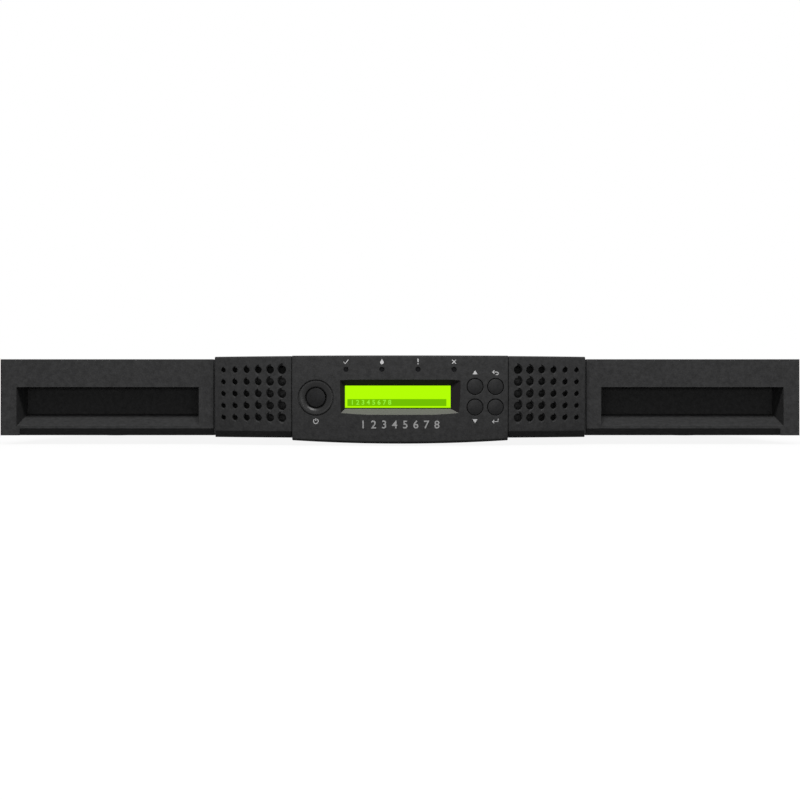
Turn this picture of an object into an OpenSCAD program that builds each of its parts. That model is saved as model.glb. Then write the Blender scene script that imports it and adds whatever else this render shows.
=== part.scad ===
// Data tape library for a rack: one unit high, two four-slot magazines, a picker
// that runs between them, one half-height tape drive, and a control panel in front.
// Millimetres. +X is to the right seen from the front, the front faces -Y, +Z is up.
// The origin is at the bottom centre of the whole object's box, under the feet.
// Inside place() y is measured from the magazine faces and z from the box's bottom.

/* [Chassis] */
// Width over the side walls and the magazine faces
chassis_w = 447; // [440:1:452]
// Height of the sheet-metal box and the magazine faces
chassis_h = 42.6; // [42.4:0.1:45]
// Thickness of the folded steel sheet
sheet_t = 1.2; // [1:0.1:1.4]
// Width of the folded flange along the top of each side wall
flange_w = 8; // [6:1:10]
// Height of the rubber feet
foot_h = 5; // [4.5:0.5:8]
// Diameter of a rubber foot
foot_d = 16; // [10:1:20]
// Distance from a side wall to the middle of a foot
foot_inset = 24; // [14:1:40]
// Distance of the front feet behind the magazine faces
foot_setback = 260; // [230:5:300]
// Distance of the rear feet in front of the rear panel
foot_rear_inset = 40; // [20:5:100]

/* [Front] */
// How far the control panel stands out in front of the magazine faces
panel_proud = 34; // [33:0.5:38]
// Width of the control panel
panel_w = 117.6; // [116:0.2:119]
// Plan radius of the control panel's face
panel_r = 293; // [280:1:320]
// Radius of the curved lower edge of the control panel
panel_smile_r = 995; // [900:5:1200]
// How far the control panel's lowest point hangs below the box
panel_chin = 3.9; // [3.5:0.1:4.2]
// How far the control panel's top stands above the box
panel_crown = 1.35; // [1:0.05:1.6]
// Radius of the rounded top edges of the front mouldings
edge_r = 1; // [0.6:0.1:1.4]
// Wall thickness of the moulded front parts
mould_t = 2.5; // [2:0.1:2.8]
// Plan radius of the vent panels' curved faces
vent_r = 217; // [214:1:222]
// Seam between the control panel and a vent panel
seam = 0.3; // [0.2:0.05:0.4]
// How far the vent panels stand above the box
vent_crown = 1.2; // [0.8:0.1:1.3]
// How far the vent panels hang below the box
vent_chin = 0.8; // [0.5:0.1:1.2]
// Height of the slope under the vent panels' faces
vent_slope_h = 3.6; // [3:0.1:4]

/* [Vent holes] */
// Columns of holes in a vent panel
vent_columns = 6; // [4:1:6]
// Rows of holes in a vent panel
vent_rows = 5; // [4:1:5]
// Distance of the first column from the control panel's edge
vent_margin = 5.6; // [5.2:0.1:6.6]
// Spacing of the columns
vent_pitch_x = 6.64; // [6.3:0.02:6.8]
// Height of the lowest row above the box's bottom
vent_first_z = 10.1; // [9.5:0.1:10.5]
// Spacing of the rows
vent_pitch_z = 6.55; // [6.3:0.05:6.7]
// Diameter of the holes in the first column
vent_hole_d = 4.8; // [4.4:0.1:5]
// How much smaller the holes get from one column to the next
vent_hole_step = 0.44; // [0.3:0.02:0.46]

/* [Display and lights] */
// Middle of the display, to the left of the library's middle
display_x = -1.2; // [-2:0.1:0]
// Height of the display's middle above the box's bottom
display_z = 21.3; // [21:0.1:22]
// Width of the lit display
display_w = 57.4; // [54:0.2:58]
// Height of the lit display
display_h = 12.6; // [12:0.2:13]
// Width of the display frame's slope on the left
bevel_left = 3; // [2.4:0.1:5.5]
// Width of the display frame's slope on the right
bevel_right = 6.2; // [3:0.1:6.4]
// Height of the display frame's slope above and below
bevel_h = 3.2; // [2.6:0.1:3.6]
// Depth of the display behind the panel's foremost line
display_depth = 5.2; // [5:0.1:6]
// Spacing of the status lights
light_pitch = 19.5; // [18:0.1:20]
// Diameter of a status light
light_d = 2.5; // [2:0.1:3]
// Height of the status lights above the box's bottom
light_z = 36.4; // [36:0.1:37]

/* [Buttons] */
// Diameter of a menu button
key_d = 8.4; // [7.8:0.1:8.6]
// Spacing of the menu buttons
key_pitch = 11.2; // [11:0.05:11.4]
// Distance from the control panel's right edge to the middle of the four menu buttons
key_edge = 12.5; // [12.2:0.1:13]
// Height of the middle of the four menu buttons
key_z = 21.45; // [21:0.05:22]
// Diameter of the power button
power_d = 10.3; // [9.8:0.1:10.6]
// Distance from the control panel's left edge to the middle of the power button
power_edge = 13.1; // [12.3:0.1:13.8]
// Height of the power button's middle
power_z = 21.1; // [20.5:0.1:21.6]
// Diameter of the dish round the power button
dish_d = 19.8; // [18.5:0.1:20.2]
// Depth of the dish round the power button
dish_depth = 2.4; // [2:0.1:2.6]
// Width of the groove round the dish
dish_groove_w = 0.8; // [0.6:0.1:1.2]
// Travel of every button
key_travel = 1; // [0.8:0.1:1.2]
// Side clearance round every button
key_gap = 0.3; // [0.25:0.01:0.35]

/* [Magazines] */
// Inner edge of a magazine face, from the library's middle
magazine_x = 104.3; // [104.2:0.1:104.8]
// Depth of the moulded magazine face
bezel_d = 24; // [22:1:26]
// Width of the finger recess
recess_w = 102; // [95:1:103]
// Height of the finger recess
recess_h = 21.7; // [20:0.1:22.5]
// Distance from the top of the face to the finger recess
recess_drop = 15.6; // [15:0.1:16]
// Depth of the finger recess
recess_depth = 18; // [15:1:19]
// Distance from the face's outer end to the finger recess
recess_margin = 8.9; // [8.5:0.1:9.5]
// Height of the undercut below the magazine face
undercut_h = 3.9; // [3.5:0.1:4.2]
// Cartridge slots in a magazine
slot_count = 4; // [3:1:4]
// Width of a cartridge
cartridge_w = 105.4; // [105:0.1:105.8]
// Height of a cartridge
cartridge_h = 21.5; // [21:0.1:22]
// Side clearance of a cartridge in its slot, each side
cartridge_gap = 1.05; // [0.9:0.05:1.2]
// Thickness of the wall between two slots
divider_t = 3.5; // [3:0.1:4]
// Height of a slot's floor above the box's bottom
slot_floor_z = 11; // [10.8:0.1:11.4]
// Thickness of the moulded floor of a magazine
magazine_floor_t = 2.6; // [2.4:0.1:3]
// Gap between a magazine and what guides it
glide_gap = 0.35; // [0.3:0.01:0.4]

/* [Picker] */
// Diameter of a guide rod
rod_d = 6; // [5:0.5:6]
// Distance of a guide rod from the library's middle
rod_x = 84.5; // [84:0.1:84.8]
// Height of the guide rods
rod_z = 6.2; // [6.1:0.1:6.3]
// Radial running clearance of bushes, pins and shafts
running_gap = 0.05; // [0.03:0.01:0.08]
// Length of a carriage bush
bush_l = 48; // [40:1:60]
// Thickness of the carriage plate
carriage_t = 2; // [1.6:0.1:2.2]
// Radius of the turntable's pivot
pivot_r = 8; // [6:0.5:10]
// Length of the cartridge cradle
cradle_l = 104; // [102:1:105]
// Radius of a belt pulley
pulley_r = 4; // [3.6:0.1:4.2]
// Thickness of the toothed belt
belt_t = 1.2; // [1:0.1:1.3]
// Height of the toothed belt
belt_h = 5.6; // [5:0.1:6]
// Reach of the gripper arms in front of the gripper bar
arm_reach = 58; // [50:1:60]

/* [Rear] */
// Width of the tape drive's sled
sled_w = 156.4; // [154:0.2:157]
// Width of the tape drive
drive_w = 146; // [144:1:149]
// Length of the tape drive
drive_l = 190; // [180:1:200]
// Space for plugs between the tape drive and the rear panel
drive_rear_gap = 56; // [50:1:90]
// Height of the tape drive
drive_h = 35.5; // [34:0.5:36]
// Diameter of a thumbscrew's knurled head
thumb_d = 10; // [8:0.5:11]
// Side of a square cooling fan
fan_w = 36; // [34:0.5:36]
// Depth of a cooling fan
fan_t = 15; // [12:1:18]
// Diameter of a hole in the rear panel's grilles
grille_hole_d = 4; // [3:0.1:4.4]
// Spacing of the holes in the rear panel's grilles
grille_pitch = 6; // [5.6:0.1:7]

/* [Hidden] */
$fn = 48;
eps = 0.01;

// Magazine, from its face to its rear wall
slot_w = cartridge_w + 2 * cartridge_gap;
slot_pitch = slot_w + divider_t;
slot_first_y = bezel_d + divider_t + slot_w / 2;
magazine_end_y = bezel_d + divider_t + slot_count * slot_pitch;
bay_end_y = magazine_end_y + 4;

// The picker rests at the rearmost slot, and the tape drive stands behind it
home_y = slot_first_y + 3 * slot_pitch;
drive_front_y = home_y + 91;
drive_gap = 0.75;
chassis_d = drive_front_y + drive_gap + drive_l + drive_rear_gap;

// What stands out behind the rear panel: sled plate, thumbscrew head
sled_plate_gap = 0.3;
thumb_l = 11;
rear_reach = sled_plate_gap + sheet_t + thumb_l;
total_d = panel_proud + chassis_d + rear_reach;
y_face = panel_proud - total_d / 2;

// Sheet-metal box
wall_x = chassis_w / 2 - sheet_t;
box_front = bezel_d + glide_gap;
ceiling_z = chassis_h - sheet_t;
bay_wall_t = 1;
bay_wall_x = magazine_x - 0.3 - bay_wall_t;
tongue_x = bay_wall_x - 0.1;

// Magazine, across and up
magazine_outer_x = wall_x - glide_gap;
magazine_base_z = sheet_t + glide_gap;
magazine_top_z = slot_floor_z + cartridge_h + 4;
magazine_wall_t = 3;
floor_hole_r = 32;
spring_l = 60;
spring_h = 10;

// Latch, behind the magazine
latch_x = magazine_outer_x - 61.95;
latch_pin_r = 2.5;
latch_window = 6;
latch_travel = 5;
latch_y = magazine_end_y + 10;
latch_foot_l = 20;
latch_w = 22;
catch_w = 18;
catch_l = 16;
catch_t = 2;
catch_z = 20;
latch_housing_h = 8.5;
latch_housing_z = catch_z + catch_t + 2;

// Picker
bracket_t = 8;
rod_front_y = sheet_t + 1;
rod_end_y = bay_end_y + 10;
bush_r = 4.7;
carriage_z = 3;
cradle_w = slot_w + 4;
cradle_wall_t = 2;
disc_z = carriage_z + carriage_t + 0.4;
cradle_floor_t = 3;
cradle_wall_h = 19;
belt_x = bay_wall_x - 7;
belt_z = 3.4;
belt_gap = 0.3;
idler_y = 18;
motor_y = bay_end_y + 25;
motor_w = 28;
motor_z = 15;
pin_r = 1.5;
arm_w = 8;
arm_t = 1.2;
arm_x = 30;
bar_y = -cradle_l / 2 + 3;

// Rear bay
sled_x = sled_w / 2;
sled_z = sheet_t + 0.3;
supply_w = 109;
supply_front_y = latch_y + latch_foot_l + 18.5;
fan_x = 50;
fan_z = chassis_h / 2;
supply_fan_x = -wall_x + 82;
inlet_x = -wall_x + 34;
inlet_w = 28;
inlet_h = 20;
port_z = 9;

function sag(r, x) = r - sqrt(r * r - x * x);
function panel_y(x) = -panel_proud + sag(panel_r, x);
function vent_y(x) = -panel_proud + sag(vent_r, x);

module place() translate([0, y_face, foot_h]) children();
module on_side(side) mirror([side < 0 ? 1 : 0, 0, 0]) children();
module block(lo, hi) translate(lo) cube(hi - lo);
module y_rod(x, z, r, y0, y1) translate([x, y0, z]) rotate([-90, 0, 0]) cylinder(r = r, h = y1 - y0);
module y_cone(x, z, r0, r1, y0, y1)
    translate([x, y0, z]) rotate([-90, 0, 0]) cylinder(r1 = r0, r2 = r1, h = y1 - y0);
module z_rod(x, y, r, z0, z1) translate([x, y, z0]) cylinder(r = r, h = z1 - z0);

// ---- Sheet-metal box ----

// The floor and the cover share this outline: full width behind the magazine faces,
// and a tongue that runs forward between the magazines.
module box_outline(half_w, end_y)
    polygon([
        [-half_w, box_front], [-tongue_x, box_front], [-tongue_x, 0], [tongue_x, 0],
        [tongue_x, box_front], [half_w, box_front], [half_w, end_y], [-half_w, end_y]
    ]);

rail_hole_r = 2.1;
rail_hole_y = [90, 130, chassis_d - 192, chassis_d - 152];
rail_hole_dz = 20;

module base_tray() color("dimgray") place() difference() {
    union() {
        linear_extrude(sheet_t) box_outline(chassis_w / 2, chassis_d);
        for (side = [-1, 1]) on_side(side) {
            block([wall_x, box_front, 0], [chassis_w / 2, chassis_d, ceiling_z]);
            block([wall_x - flange_w, box_front, ceiling_z - sheet_t],
                  [wall_x + eps, chassis_d - sheet_t, ceiling_z]);
        }
    }
    // rack-rail holes, two pairs at the front and two at the rear of each side
    for (side = [-1, 1], y = rail_hole_y, dz = [-1, 1])
        translate([side * (wall_x - 1), y, chassis_h / 2 + dz * rail_hole_dz / 2])
            rotate([0, side * 90, 0]) cylinder(r = rail_hole_r, h = sheet_t + 2);
    // air slots in the side walls beside the power supply and the controller
    for (side = [-1, 1], i = [0 : 7]) on_side(side)
        block([wall_x - 1, chassis_d - 130 + i * 9, 14], [chassis_w / 2 + 1, chassis_d - 126 + i * 9, 30]);
}

screw_first_y = 60;
screw_rear_inset = 122;
screw_y = [for (i = [0 : 3]) screw_first_y + i * (chassis_d - screw_rear_inset - screw_first_y) / 3];

module top_cover() color("dimgray") place() difference() {
    translate([0, 0, ceiling_z]) linear_extrude(sheet_t) box_outline(chassis_w / 2, chassis_d);
    for (side = [-1, 1], y = screw_y)
        z_rod(side * (wall_x - flange_w / 2), y, 1.6, ceiling_z - 1, chassis_h + 1);
}

module cover_screws() color("silver") place()
    for (side = [-1, 1], y = screw_y) difference() {
        union() {
            z_rod(side * (wall_x - flange_w / 2), y, 1.5, ceiling_z, chassis_h + eps);
            z_rod(side * (wall_x - flange_w / 2), y, 3, chassis_h, chassis_h + 0.9);
        }
        z_rod(side * (wall_x - flange_w / 2), y, 1, chassis_h + 0.3, chassis_h + 1);
    }

module feet() color("black") translate([0, y_face, 0])
    for (side = [-1, 1], y = [foot_setback, chassis_d - foot_rear_inset])
        translate([side * (chassis_w / 2 - foot_inset), y, 0])
            cylinder(r1 = foot_d / 2 - 1, r2 = foot_d / 2, h = foot_h);

// A round patch of staggered holes
module grille(radius) {
    rows = floor(radius / grille_pitch);
    for (j = [-rows : rows], i = [-rows : rows]) {
        x = (i + (j % 2 == 0 ? 0 : 0.5)) * grille_pitch;
        z = j * grille_pitch * 0.866;
        if (norm([x, z]) + grille_hole_d / 2 < radius)
            y_rod(x, z, grille_hole_d / 2, -sheet_t - 1, 1);
    }
}

module rear_panel() color("dimgray") place() difference() {
    block([-wall_x, chassis_d - sheet_t, sheet_t], [wall_x, chassis_d, ceiling_z]);
    // way in for the drive sled
    block([-sled_x - 0.6, chassis_d - 2 * sheet_t, 0], [sled_x + 0.6, chassis_d + 1, chassis_h]);
    for (side = [-1, 1]) {
        y_rod(side * thumb_x, thumb_z, 2.1, chassis_d - 2 * sheet_t, chassis_d + 1);
        y_rod(side * (bay_wall_x + bay_wall_t), 32, 1.5, chassis_d - 2 * sheet_t, chassis_d + 1);
    }
    translate([supply_fan_x, chassis_d, fan_z]) grille(fan_w / 2 - 2);
    block([inlet_x - inlet_w / 2 - 0.3, chassis_d - 2 * sheet_t, fan_z - inlet_h / 2 - 0.3],
          [inlet_x + inlet_w / 2 + 0.3, chassis_d + 1, fan_z + inlet_h / 2 + 0.3]);
    for (port = ports)
        block([port[0] - port[1] / 2 - 0.3, chassis_d - 2 * sheet_t, port_z - 0.3],
              [port[0] + port[1] / 2 + 0.3, chassis_d + 1, port_z + port[2] + 0.3]);
    for (i = [0 : 10])
        translate([wall_x - 88.3 + i * grille_pitch, chassis_d, 33]) grille(grille_hole_d / 2 + 0.1);
}

// The folded plate that carries the front mouldings
module front_frame() color("gray") place() difference() {
    union() {
        block([-tongue_x, 0, sheet_t], [tongue_x, sheet_t, ceiling_z]);
        block([-tongue_x, 0, sheet_t], [tongue_x, 8, sheet_t + 1]);
        block([-tongue_x, 0, ceiling_z - 1], [tongue_x, 8, ceiling_z]);
    }
    for (side = [-1, 1]) on_side(side)
        block([panel_x + 4, -1, 6], [tongue_x - 4, sheet_t + 1, ceiling_z - 5]);
    block([-20, -1, 12], [20, sheet_t + 1, 30]);
}

// Wall between a magazine and the picker, with a window at every slot
module bay_wall(side) color("gray") place() on_side(side) difference() {
    union() {
        block([bay_wall_x, sheet_t + 0.2, sheet_t], [bay_wall_x + bay_wall_t, bay_end_y, ceiling_z]);
        block([bay_wall_x - 3, box_front, ceiling_z - sheet_t],
              [bay_wall_x + bay_wall_t, bay_end_y, ceiling_z]);
    }
    for (i = [0 : slot_count - 1])
        translate([0, slot_first_y + i * slot_pitch, 0])
            block([bay_wall_x - 1, -slot_w / 2, slot_floor_z - 3],
                  [bay_wall_x + bay_wall_t + 1, slot_w / 2, magazine_top_z]);
}
module left_bay_wall() bay_wall(-1);
module right_bay_wall() bay_wall(1);

// ---- Front mouldings ----

// The space between a plan arc and the back plane
module bulge(r, proud, x0, x1, z0, z1) intersection() {
    translate([0, r - proud, z0]) cylinder(r = r, h = z1 - z0);
    block([x0, -proud - 1, z0], [x1, 0, z1]);
}

panel_x = panel_w / 2;
vent_x0 = panel_x + seam;
vent_x1 = bay_wall_x - 0.1;
vent_z0 = -vent_chin;
vent_z1 = chassis_h + vent_crown;

// What a rounded top edge takes off a plan-curved face, between two angles
module edge_waste(r, top_z, from_a, to_a)
    translate([0, r - panel_proud, 0]) rotate([0, 0, from_a - 90]) rotate_extrude(angle = to_a - from_a)
        translate([r - edge_r, top_z - edge_r]) difference() {
            square(edge_r + 1);
            circle(edge_r);
        }

module vent_panel(side) color([0.2, 0.2, 0.2]) place() on_side(side) difference() {
    bulge(vent_r, panel_proud, vent_x0, vent_x1, vent_z0, vent_z1);
    bulge(vent_r - mould_t, panel_proud - mould_t, vent_x0 + mould_t, vent_x1 - mould_t,
          vent_z0 + mould_t, vent_z1 - mould_t);
    block([vent_x0 + mould_t, -1, vent_z0 + mould_t], [vent_x1 - mould_t, 1, vent_z1 - mould_t]);
    // slope under the face, and the rounded top edge
    translate([0, vent_r - panel_proud, 0]) rotate([0, 0, -90]) rotate_extrude(angle = 60)
        polygon([[vent_r + 1, vent_z0 - 1], [vent_r + 1, vent_z0 + vent_slope_h + 1],
                 [vent_r, vent_z0 + vent_slope_h], [vent_r - 2.4, vent_z0], [vent_r - 2.4, vent_z0 - 1]]);
    edge_waste(vent_r, vent_z1, 5, 45);
    for (i = [0 : vent_columns - 1], j = [0 : vent_rows - 1]) {
        x = panel_x + vent_margin + i * vent_pitch_x;
        z = vent_first_z + j * vent_pitch_z;
        r = (vent_hole_d - i * vent_hole_step) / 2;
        y_rod(x, z, r, vent_y(x) - 4, vent_y(x) + 2 * mould_t);
        y_cone(x, z, r + 1.1, r, vent_y(x) - 0.5, vent_y(x) + 0.7);
    }
}
module left_vent_panel() vent_panel(-1);
module right_vent_panel() vent_panel(1);

panel_z1 = chassis_h + panel_crown;
key_x = panel_x - key_edge;
power_x = power_edge - panel_x;
key_boss_end = -24;
keys = [
    [key_x - key_pitch / 2, key_z + key_pitch / 2],
    [key_x - key_pitch / 2, key_z - key_pitch / 2],
    [key_x + key_pitch / 2, key_z + key_pitch / 2],
    [key_x + key_pitch / 2, key_z - key_pitch / 2]
];
power_boss_end = -22;
light_x = [for (i = [0 : 3]) (i - 1.5) * light_pitch];
board_y = -10;
board_t = 1.6;
board_x = panel_x - mould_t - 1;
board_z0 = 2;
board_z1 = 40;
board_hole_z = [5.5, 37];
display_y = -panel_proud + display_depth;
display_rim = 0.8;
bevel_back = 3.9;

module display_opening(left, right, grow_z, y0, y1)
    block([display_x - display_w / 2 - left, y0, display_z - display_h / 2 - grow_z],
          [display_x + display_w / 2 + right, y1, display_z + display_h / 2 + grow_z]);

// A place on the control panel's face, with +Y going straight in through the face
module on_panel(x, z) translate([x, panel_y(x), z]) rotate([0, 0, asin(x / panel_r)]) children();

module panel_body(inset) intersection() {
    bulge(panel_r - inset, panel_proud - inset, -panel_x + inset, panel_x - inset,
          -panel_chin + inset, panel_z1 - inset);
    translate([0, 1, panel_smile_r - panel_chin]) rotate([90, 0, 0])
        cylinder(r = panel_smile_r - inset, h = panel_proud + 2, $fn = 720);
}

module control_panel() color([0.21, 0.21, 0.21]) place() difference() {
    union() {
        difference() {
            panel_body(0);
            panel_body(mould_t);
            block([-panel_x + mould_t, -1, 0], [panel_x - mould_t, 1, panel_z1 - mould_t]);
        }
        intersection() {
            panel_body(0);
            union() {
                display_opening(bevel_left + 2, bevel_right + 2, bevel_h + 2, -panel_proud,
                                display_y + display_rim);
                for (key = keys) y_rod(key[0], key[1], key_d / 2 + 2, -panel_proud, key_boss_end);
                y_rod(power_x, power_z, dish_d / 2 + 1, -panel_proud, power_boss_end);
                for (x = light_x) y_rod(x, light_z, light_d / 2 + 1.2, -panel_proud, key_boss_end);
                // bosses that carry the board
                for (side = [-1, 1], z = board_hole_z)
                    y_rod(side * (board_x - 4), z, 2.6, -panel_proud, board_y - board_t);
            }
        }
    }
    edge_waste(panel_r, panel_z1, -15, 15);
    // display opening with its sloped frame
    display_opening(0, 0, 0, -panel_proud - 1, display_y + 2);
    hull() {
        display_opening(bevel_left, bevel_right, bevel_h, display_y - bevel_back, display_y - bevel_back + eps);
        display_opening(0, 0, 0, display_y - eps, display_y);
    }
    display_opening(bevel_left, bevel_right, bevel_h, -panel_proud - 1, display_y - bevel_back + eps);
    for (key = keys) {
        y_rod(key[0], key[1], key_d / 2 + key_gap, -panel_proud - 1, 0);
        on_panel(key[0], key[1]) y_cone(0, 0, key_d / 2 + key_gap + 0.7, key_d / 2 + key_gap - 0.2, -0.2, 0.7);
    }
    // power button's bore and well, the dish and the groove round it
    y_rod(power_x, power_z, power_d / 2 + key_gap, -panel_proud - 1, 0);
    on_panel(power_x, power_z) {
        y_rod(0, 0, power_d / 2 + 0.85, -1, dish_depth + 1.2);
        translate([0, dish_depth - dish_r, 0]) sphere(r = dish_r, $fn = 96);
        difference() {
            y_rod(0, 0, dish_d / 2, -1, 1);
            y_rod(0, 0, dish_d / 2 - dish_groove_w, -2, 2);
        }
    }
    for (x = light_x) {
        y_rod(x, light_z, light_d / 2 + 0.1, -panel_proud - 1, 0);
        on_panel(x, light_z) y_cone(0, 0, light_d / 2 + 0.5, light_d / 2 - 0.1, -0.1, 0.5);
    }
    for (side = [-1, 1], z = board_hole_z)
        y_rod(side * (board_x - 4), z, 1.1, board_y - board_t - 8, board_y);
}
// the dish's rim lies in the middle of the groove
dish_rim_r = dish_d / 2 - dish_groove_w / 2;
dish_r = (dish_rim_r * dish_rim_r + dish_depth * dish_depth) / (2 * dish_depth);

module display_window() color([0.72, 1, 0.1]) place()
    display_opening(2, 2, 1.6, display_y + display_rim, display_y + display_rim + 1.2);

module display_module() color("darkgreen") place() {
    display_opening(2.6, 2.6, 3.4, display_y + display_rim + 1.2, display_y + 10);
    display_opening(-4, -4, -3.5, display_y + 10 - eps, board_y - board_t);
}

module light_pipes() color("honeydew") place()
    for (x = light_x) {
        y_rod(x, light_z, light_d / 2, panel_y(x) + 1, board_y - board_t);
    }

module panel_board() color("seagreen") place() {
    difference() {
        block([-board_x, board_y - board_t, board_z0], [board_x, board_y, board_z1]);
        for (side = [-1, 1], z = board_hole_z)
            y_rod(side * (board_x - 4), z, 1.2, board_y - board_t - 1, board_y + 1);
    }
    // push switches behind the buttons
    for (key = concat(keys, [[power_x, power_z]])) {
        block([key[0] - 3, board_y - board_t - 3.4, key[1] - 3],
              [key[0] + 3, board_y - board_t + eps, key[1] + 3]);
        y_rod(key[0], key[1], 1.6, board_y - board_t - 4.4, board_y - board_t - 3);
    }
    block([-16, board_y - eps, 15], [16, board_y + 6, 22]);
}

stem_end = board_y - board_t - 4.4 - key_travel - 0.3;
// A domed cap, set square to the panel's face, with two ears behind the panel and a stem to its switch
module button(x, z, d, lift, collar_y, dome) color([0.13, 0.13, 0.13]) place() {
    dome_r = (d * d / 4 + dome * dome) / (2 * dome);
    intersection() {
        y_rod(x, z, d / 2, panel_y(x) - 4, collar_y + 1.7);
        union() {
            on_panel(x, z) translate([0, dome_r - lift, 0]) sphere(r = dome_r, $fn = 96);
            y_rod(x, z, d, panel_y(x) + dome_r / 2, collar_y + 2);
        }
    }
    block([x - 2, collar_y + 0.3, z - d / 2 - 1], [x + 2, collar_y + 1.7, z + d / 2 + 1]);
    y_rod(x, z, 2.2, collar_y + 1.7 - eps, stem_end);
}
module key(i) button(keys[i][0], keys[i][1], key_d, 0.7, key_boss_end, 0.8);
module up_button() key(0);
module down_button() key(1);
module cancel_button() key(2);
module enter_button() key(3);
module power_button()
    button(power_x, power_z, power_d, -0.3, power_boss_end, 0.7);

// ---- Magazines ----

module magazine_face(side) color([0.22, 0.22, 0.22]) place() on_side(side) {
    outer_x = chassis_w / 2;
    lip_z = chassis_h - recess_drop - recess_h;
    far_x = outer_x - recess_margin;
    difference() {
        block([magazine_x, 0, 0], [outer_x, bezel_d, chassis_h]);
        // finger recess: a drafted outer end and a floor that climbs towards the back
        hull() {
            block([far_x - recess_w, -0.1, lip_z], [far_x, 0, lip_z + recess_h]);
            block([far_x - recess_w - 3, recess_depth - 0.1, lip_z + 6.6],
                  [far_x - 2.7, recess_depth, lip_z + recess_h + 2]);
        }
        block([far_x - recess_w, -1, lip_z], [far_x, 0, lip_z + recess_h]);
        // undercut below the face, with a slanted end
        hull() {
            block([magazine_x - 1, -1, -1], [outer_x - 12, -0.9, undercut_h * 1.18]);
            block([magazine_x - 1, 5, -1], [outer_x - 4, 5.1, 0]);
        }
    }
}
module left_magazine_face() magazine_face(-1);
module right_magazine_face() magazine_face(1);

module magazine_tray(side) color([0.3, 0.3, 0.31]) place() on_side(side) difference() {
    union() {
        block([magazine_x, bezel_d, slot_floor_z - magazine_floor_t],
              [magazine_outer_x, magazine_end_y, slot_floor_z]);
        // outer wall and the two runners
        block([magazine_outer_x - magazine_wall_t, bezel_d, magazine_base_z],
              [magazine_outer_x, magazine_end_y, magazine_top_z]);
        block([magazine_x, bezel_d, magazine_base_z],
              [magazine_x + magazine_wall_t, magazine_end_y, slot_floor_z]);
        // end walls and dividers
        for (i = [0 : slot_count])
            translate([0, bezel_d + i * slot_pitch, 0])
                block([magazine_x, 0, slot_floor_z - eps], [magazine_outer_x, divider_t, magazine_top_z]);
    }
    for (i = [0 : slot_count - 1]) translate([0, slot_first_y + i * slot_pitch, 0]) {
        // ways for the gripper arms, and a light opening in the floor
        for (dy = [-1, 1])
            block([magazine_x - 1, dy * arm_x - arm_w / 2 - 2, slot_floor_z - 3.2],
                  [magazine_x + 8, dy * arm_x + arm_w / 2 + 2, slot_floor_z + 1]);
        z_rod((magazine_x + magazine_outer_x) / 2 + 3, 0, floor_hole_r, slot_floor_z - 5, slot_floor_z + 3);
    }
}
module left_magazine_tray() magazine_tray(-1);
module right_magazine_tray() magazine_tray(1);

// One leaf spring on the outer wall of each slot
module magazine_springs(side) color("silver") place() on_side(side)
    for (i = [0 : slot_count - 1])
        translate([magazine_outer_x - magazine_wall_t, slot_first_y + i * slot_pitch, slot_floor_z + 6])
            linear_extrude(spring_h) polygon([
                [0, -spring_l / 2], [0, -spring_l / 2 + 8], [-4.2, -4], [-4.2, 4], [0, spring_l / 2 - 8],
                [0, spring_l / 2], [-0.4, spring_l / 2], [-0.4, spring_l / 2 - 8], [-4.6, 4.2],
                [-4.6, -4.2], [-0.4, -spring_l / 2 + 8], [-0.4, -spring_l / 2]
            ]);
module left_magazine_springs() magazine_springs(-1);
module right_magazine_springs() magazine_springs(1);

// Folded plate on a magazine's rear wall, with the window that the latch pin drops into
module magazine_catch(side) color("silver") place() on_side(side) difference() {
    union() {
        block([latch_x - catch_w / 2, magazine_end_y, slot_floor_z + 1],
              [latch_x + catch_w / 2, magazine_end_y + catch_t, catch_z + catch_t]);
        block([latch_x - catch_w / 2, magazine_end_y, catch_z],
              [latch_x + catch_w / 2, magazine_end_y + catch_l, catch_z + catch_t]);
    }
    block([latch_x - latch_window / 2, latch_y - latch_window / 2, catch_z - 1],
          [latch_x + latch_window / 2, latch_y + latch_window / 2, catch_z + catch_t + 1]);
}
module left_magazine_catch() magazine_catch(-1);
module right_magazine_catch() magazine_catch(1);

module latch_housing(side) color("gray") place() on_side(side) difference() {
    housing_top = latch_housing_z + latch_housing_h;
    union() {
        block([latch_x - latch_w / 2, latch_y - 8, latch_housing_z],
              [latch_x + latch_w / 2, latch_y + 8 + eps, housing_top]);
        block([latch_x - latch_w / 2, latch_y + 8, sheet_t], [latch_x + latch_w / 2, latch_y + 9.6, housing_top]);
        block([latch_x - latch_w / 2, latch_y + 8, sheet_t],
              [latch_x + latch_w / 2, latch_y + latch_foot_l, sheet_t + 1.6]);
    }
    z_rod(latch_x, latch_y, latch_pin_r + running_gap, latch_housing_z - 1, housing_top + 1);
}
module left_latch_housing() latch_housing(-1);
module right_latch_housing() latch_housing(1);

module latch_pin(side) color("silver") place() on_side(side) {
    pin_top = latch_housing_z + latch_housing_h + latch_travel + 0.4;
    z_rod(latch_x, latch_y, latch_pin_r, catch_z + catch_t + 0.5, pin_top + eps);
    z_rod(latch_x, latch_y, latch_pin_r + 1.5, pin_top, pin_top + 1);
}
module left_latch_pin() latch_pin(-1);
module right_latch_pin() latch_pin(1);

// ---- Picker ----

module guide_rods() color("silver") place()
    for (side = [-1, 1]) y_rod(side * rod_x, rod_z, rod_d / 2, rod_front_y, rod_end_y);

module rod_brackets() color("gray") place()
    for (side = [-1, 1], y = [rod_front_y, rod_end_y - bracket_t]) difference() {
        block([side * rod_x - 6, y, sheet_t + (y == rod_front_y ? 1 : 0)],
              [side * rod_x + 6, y + bracket_t, rod_z + rod_d / 2 + 2]);
        y_rod(side * rod_x, rod_z, rod_d / 2 + 0.01, y - 1, y + bracket_t + 1);
    }

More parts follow.
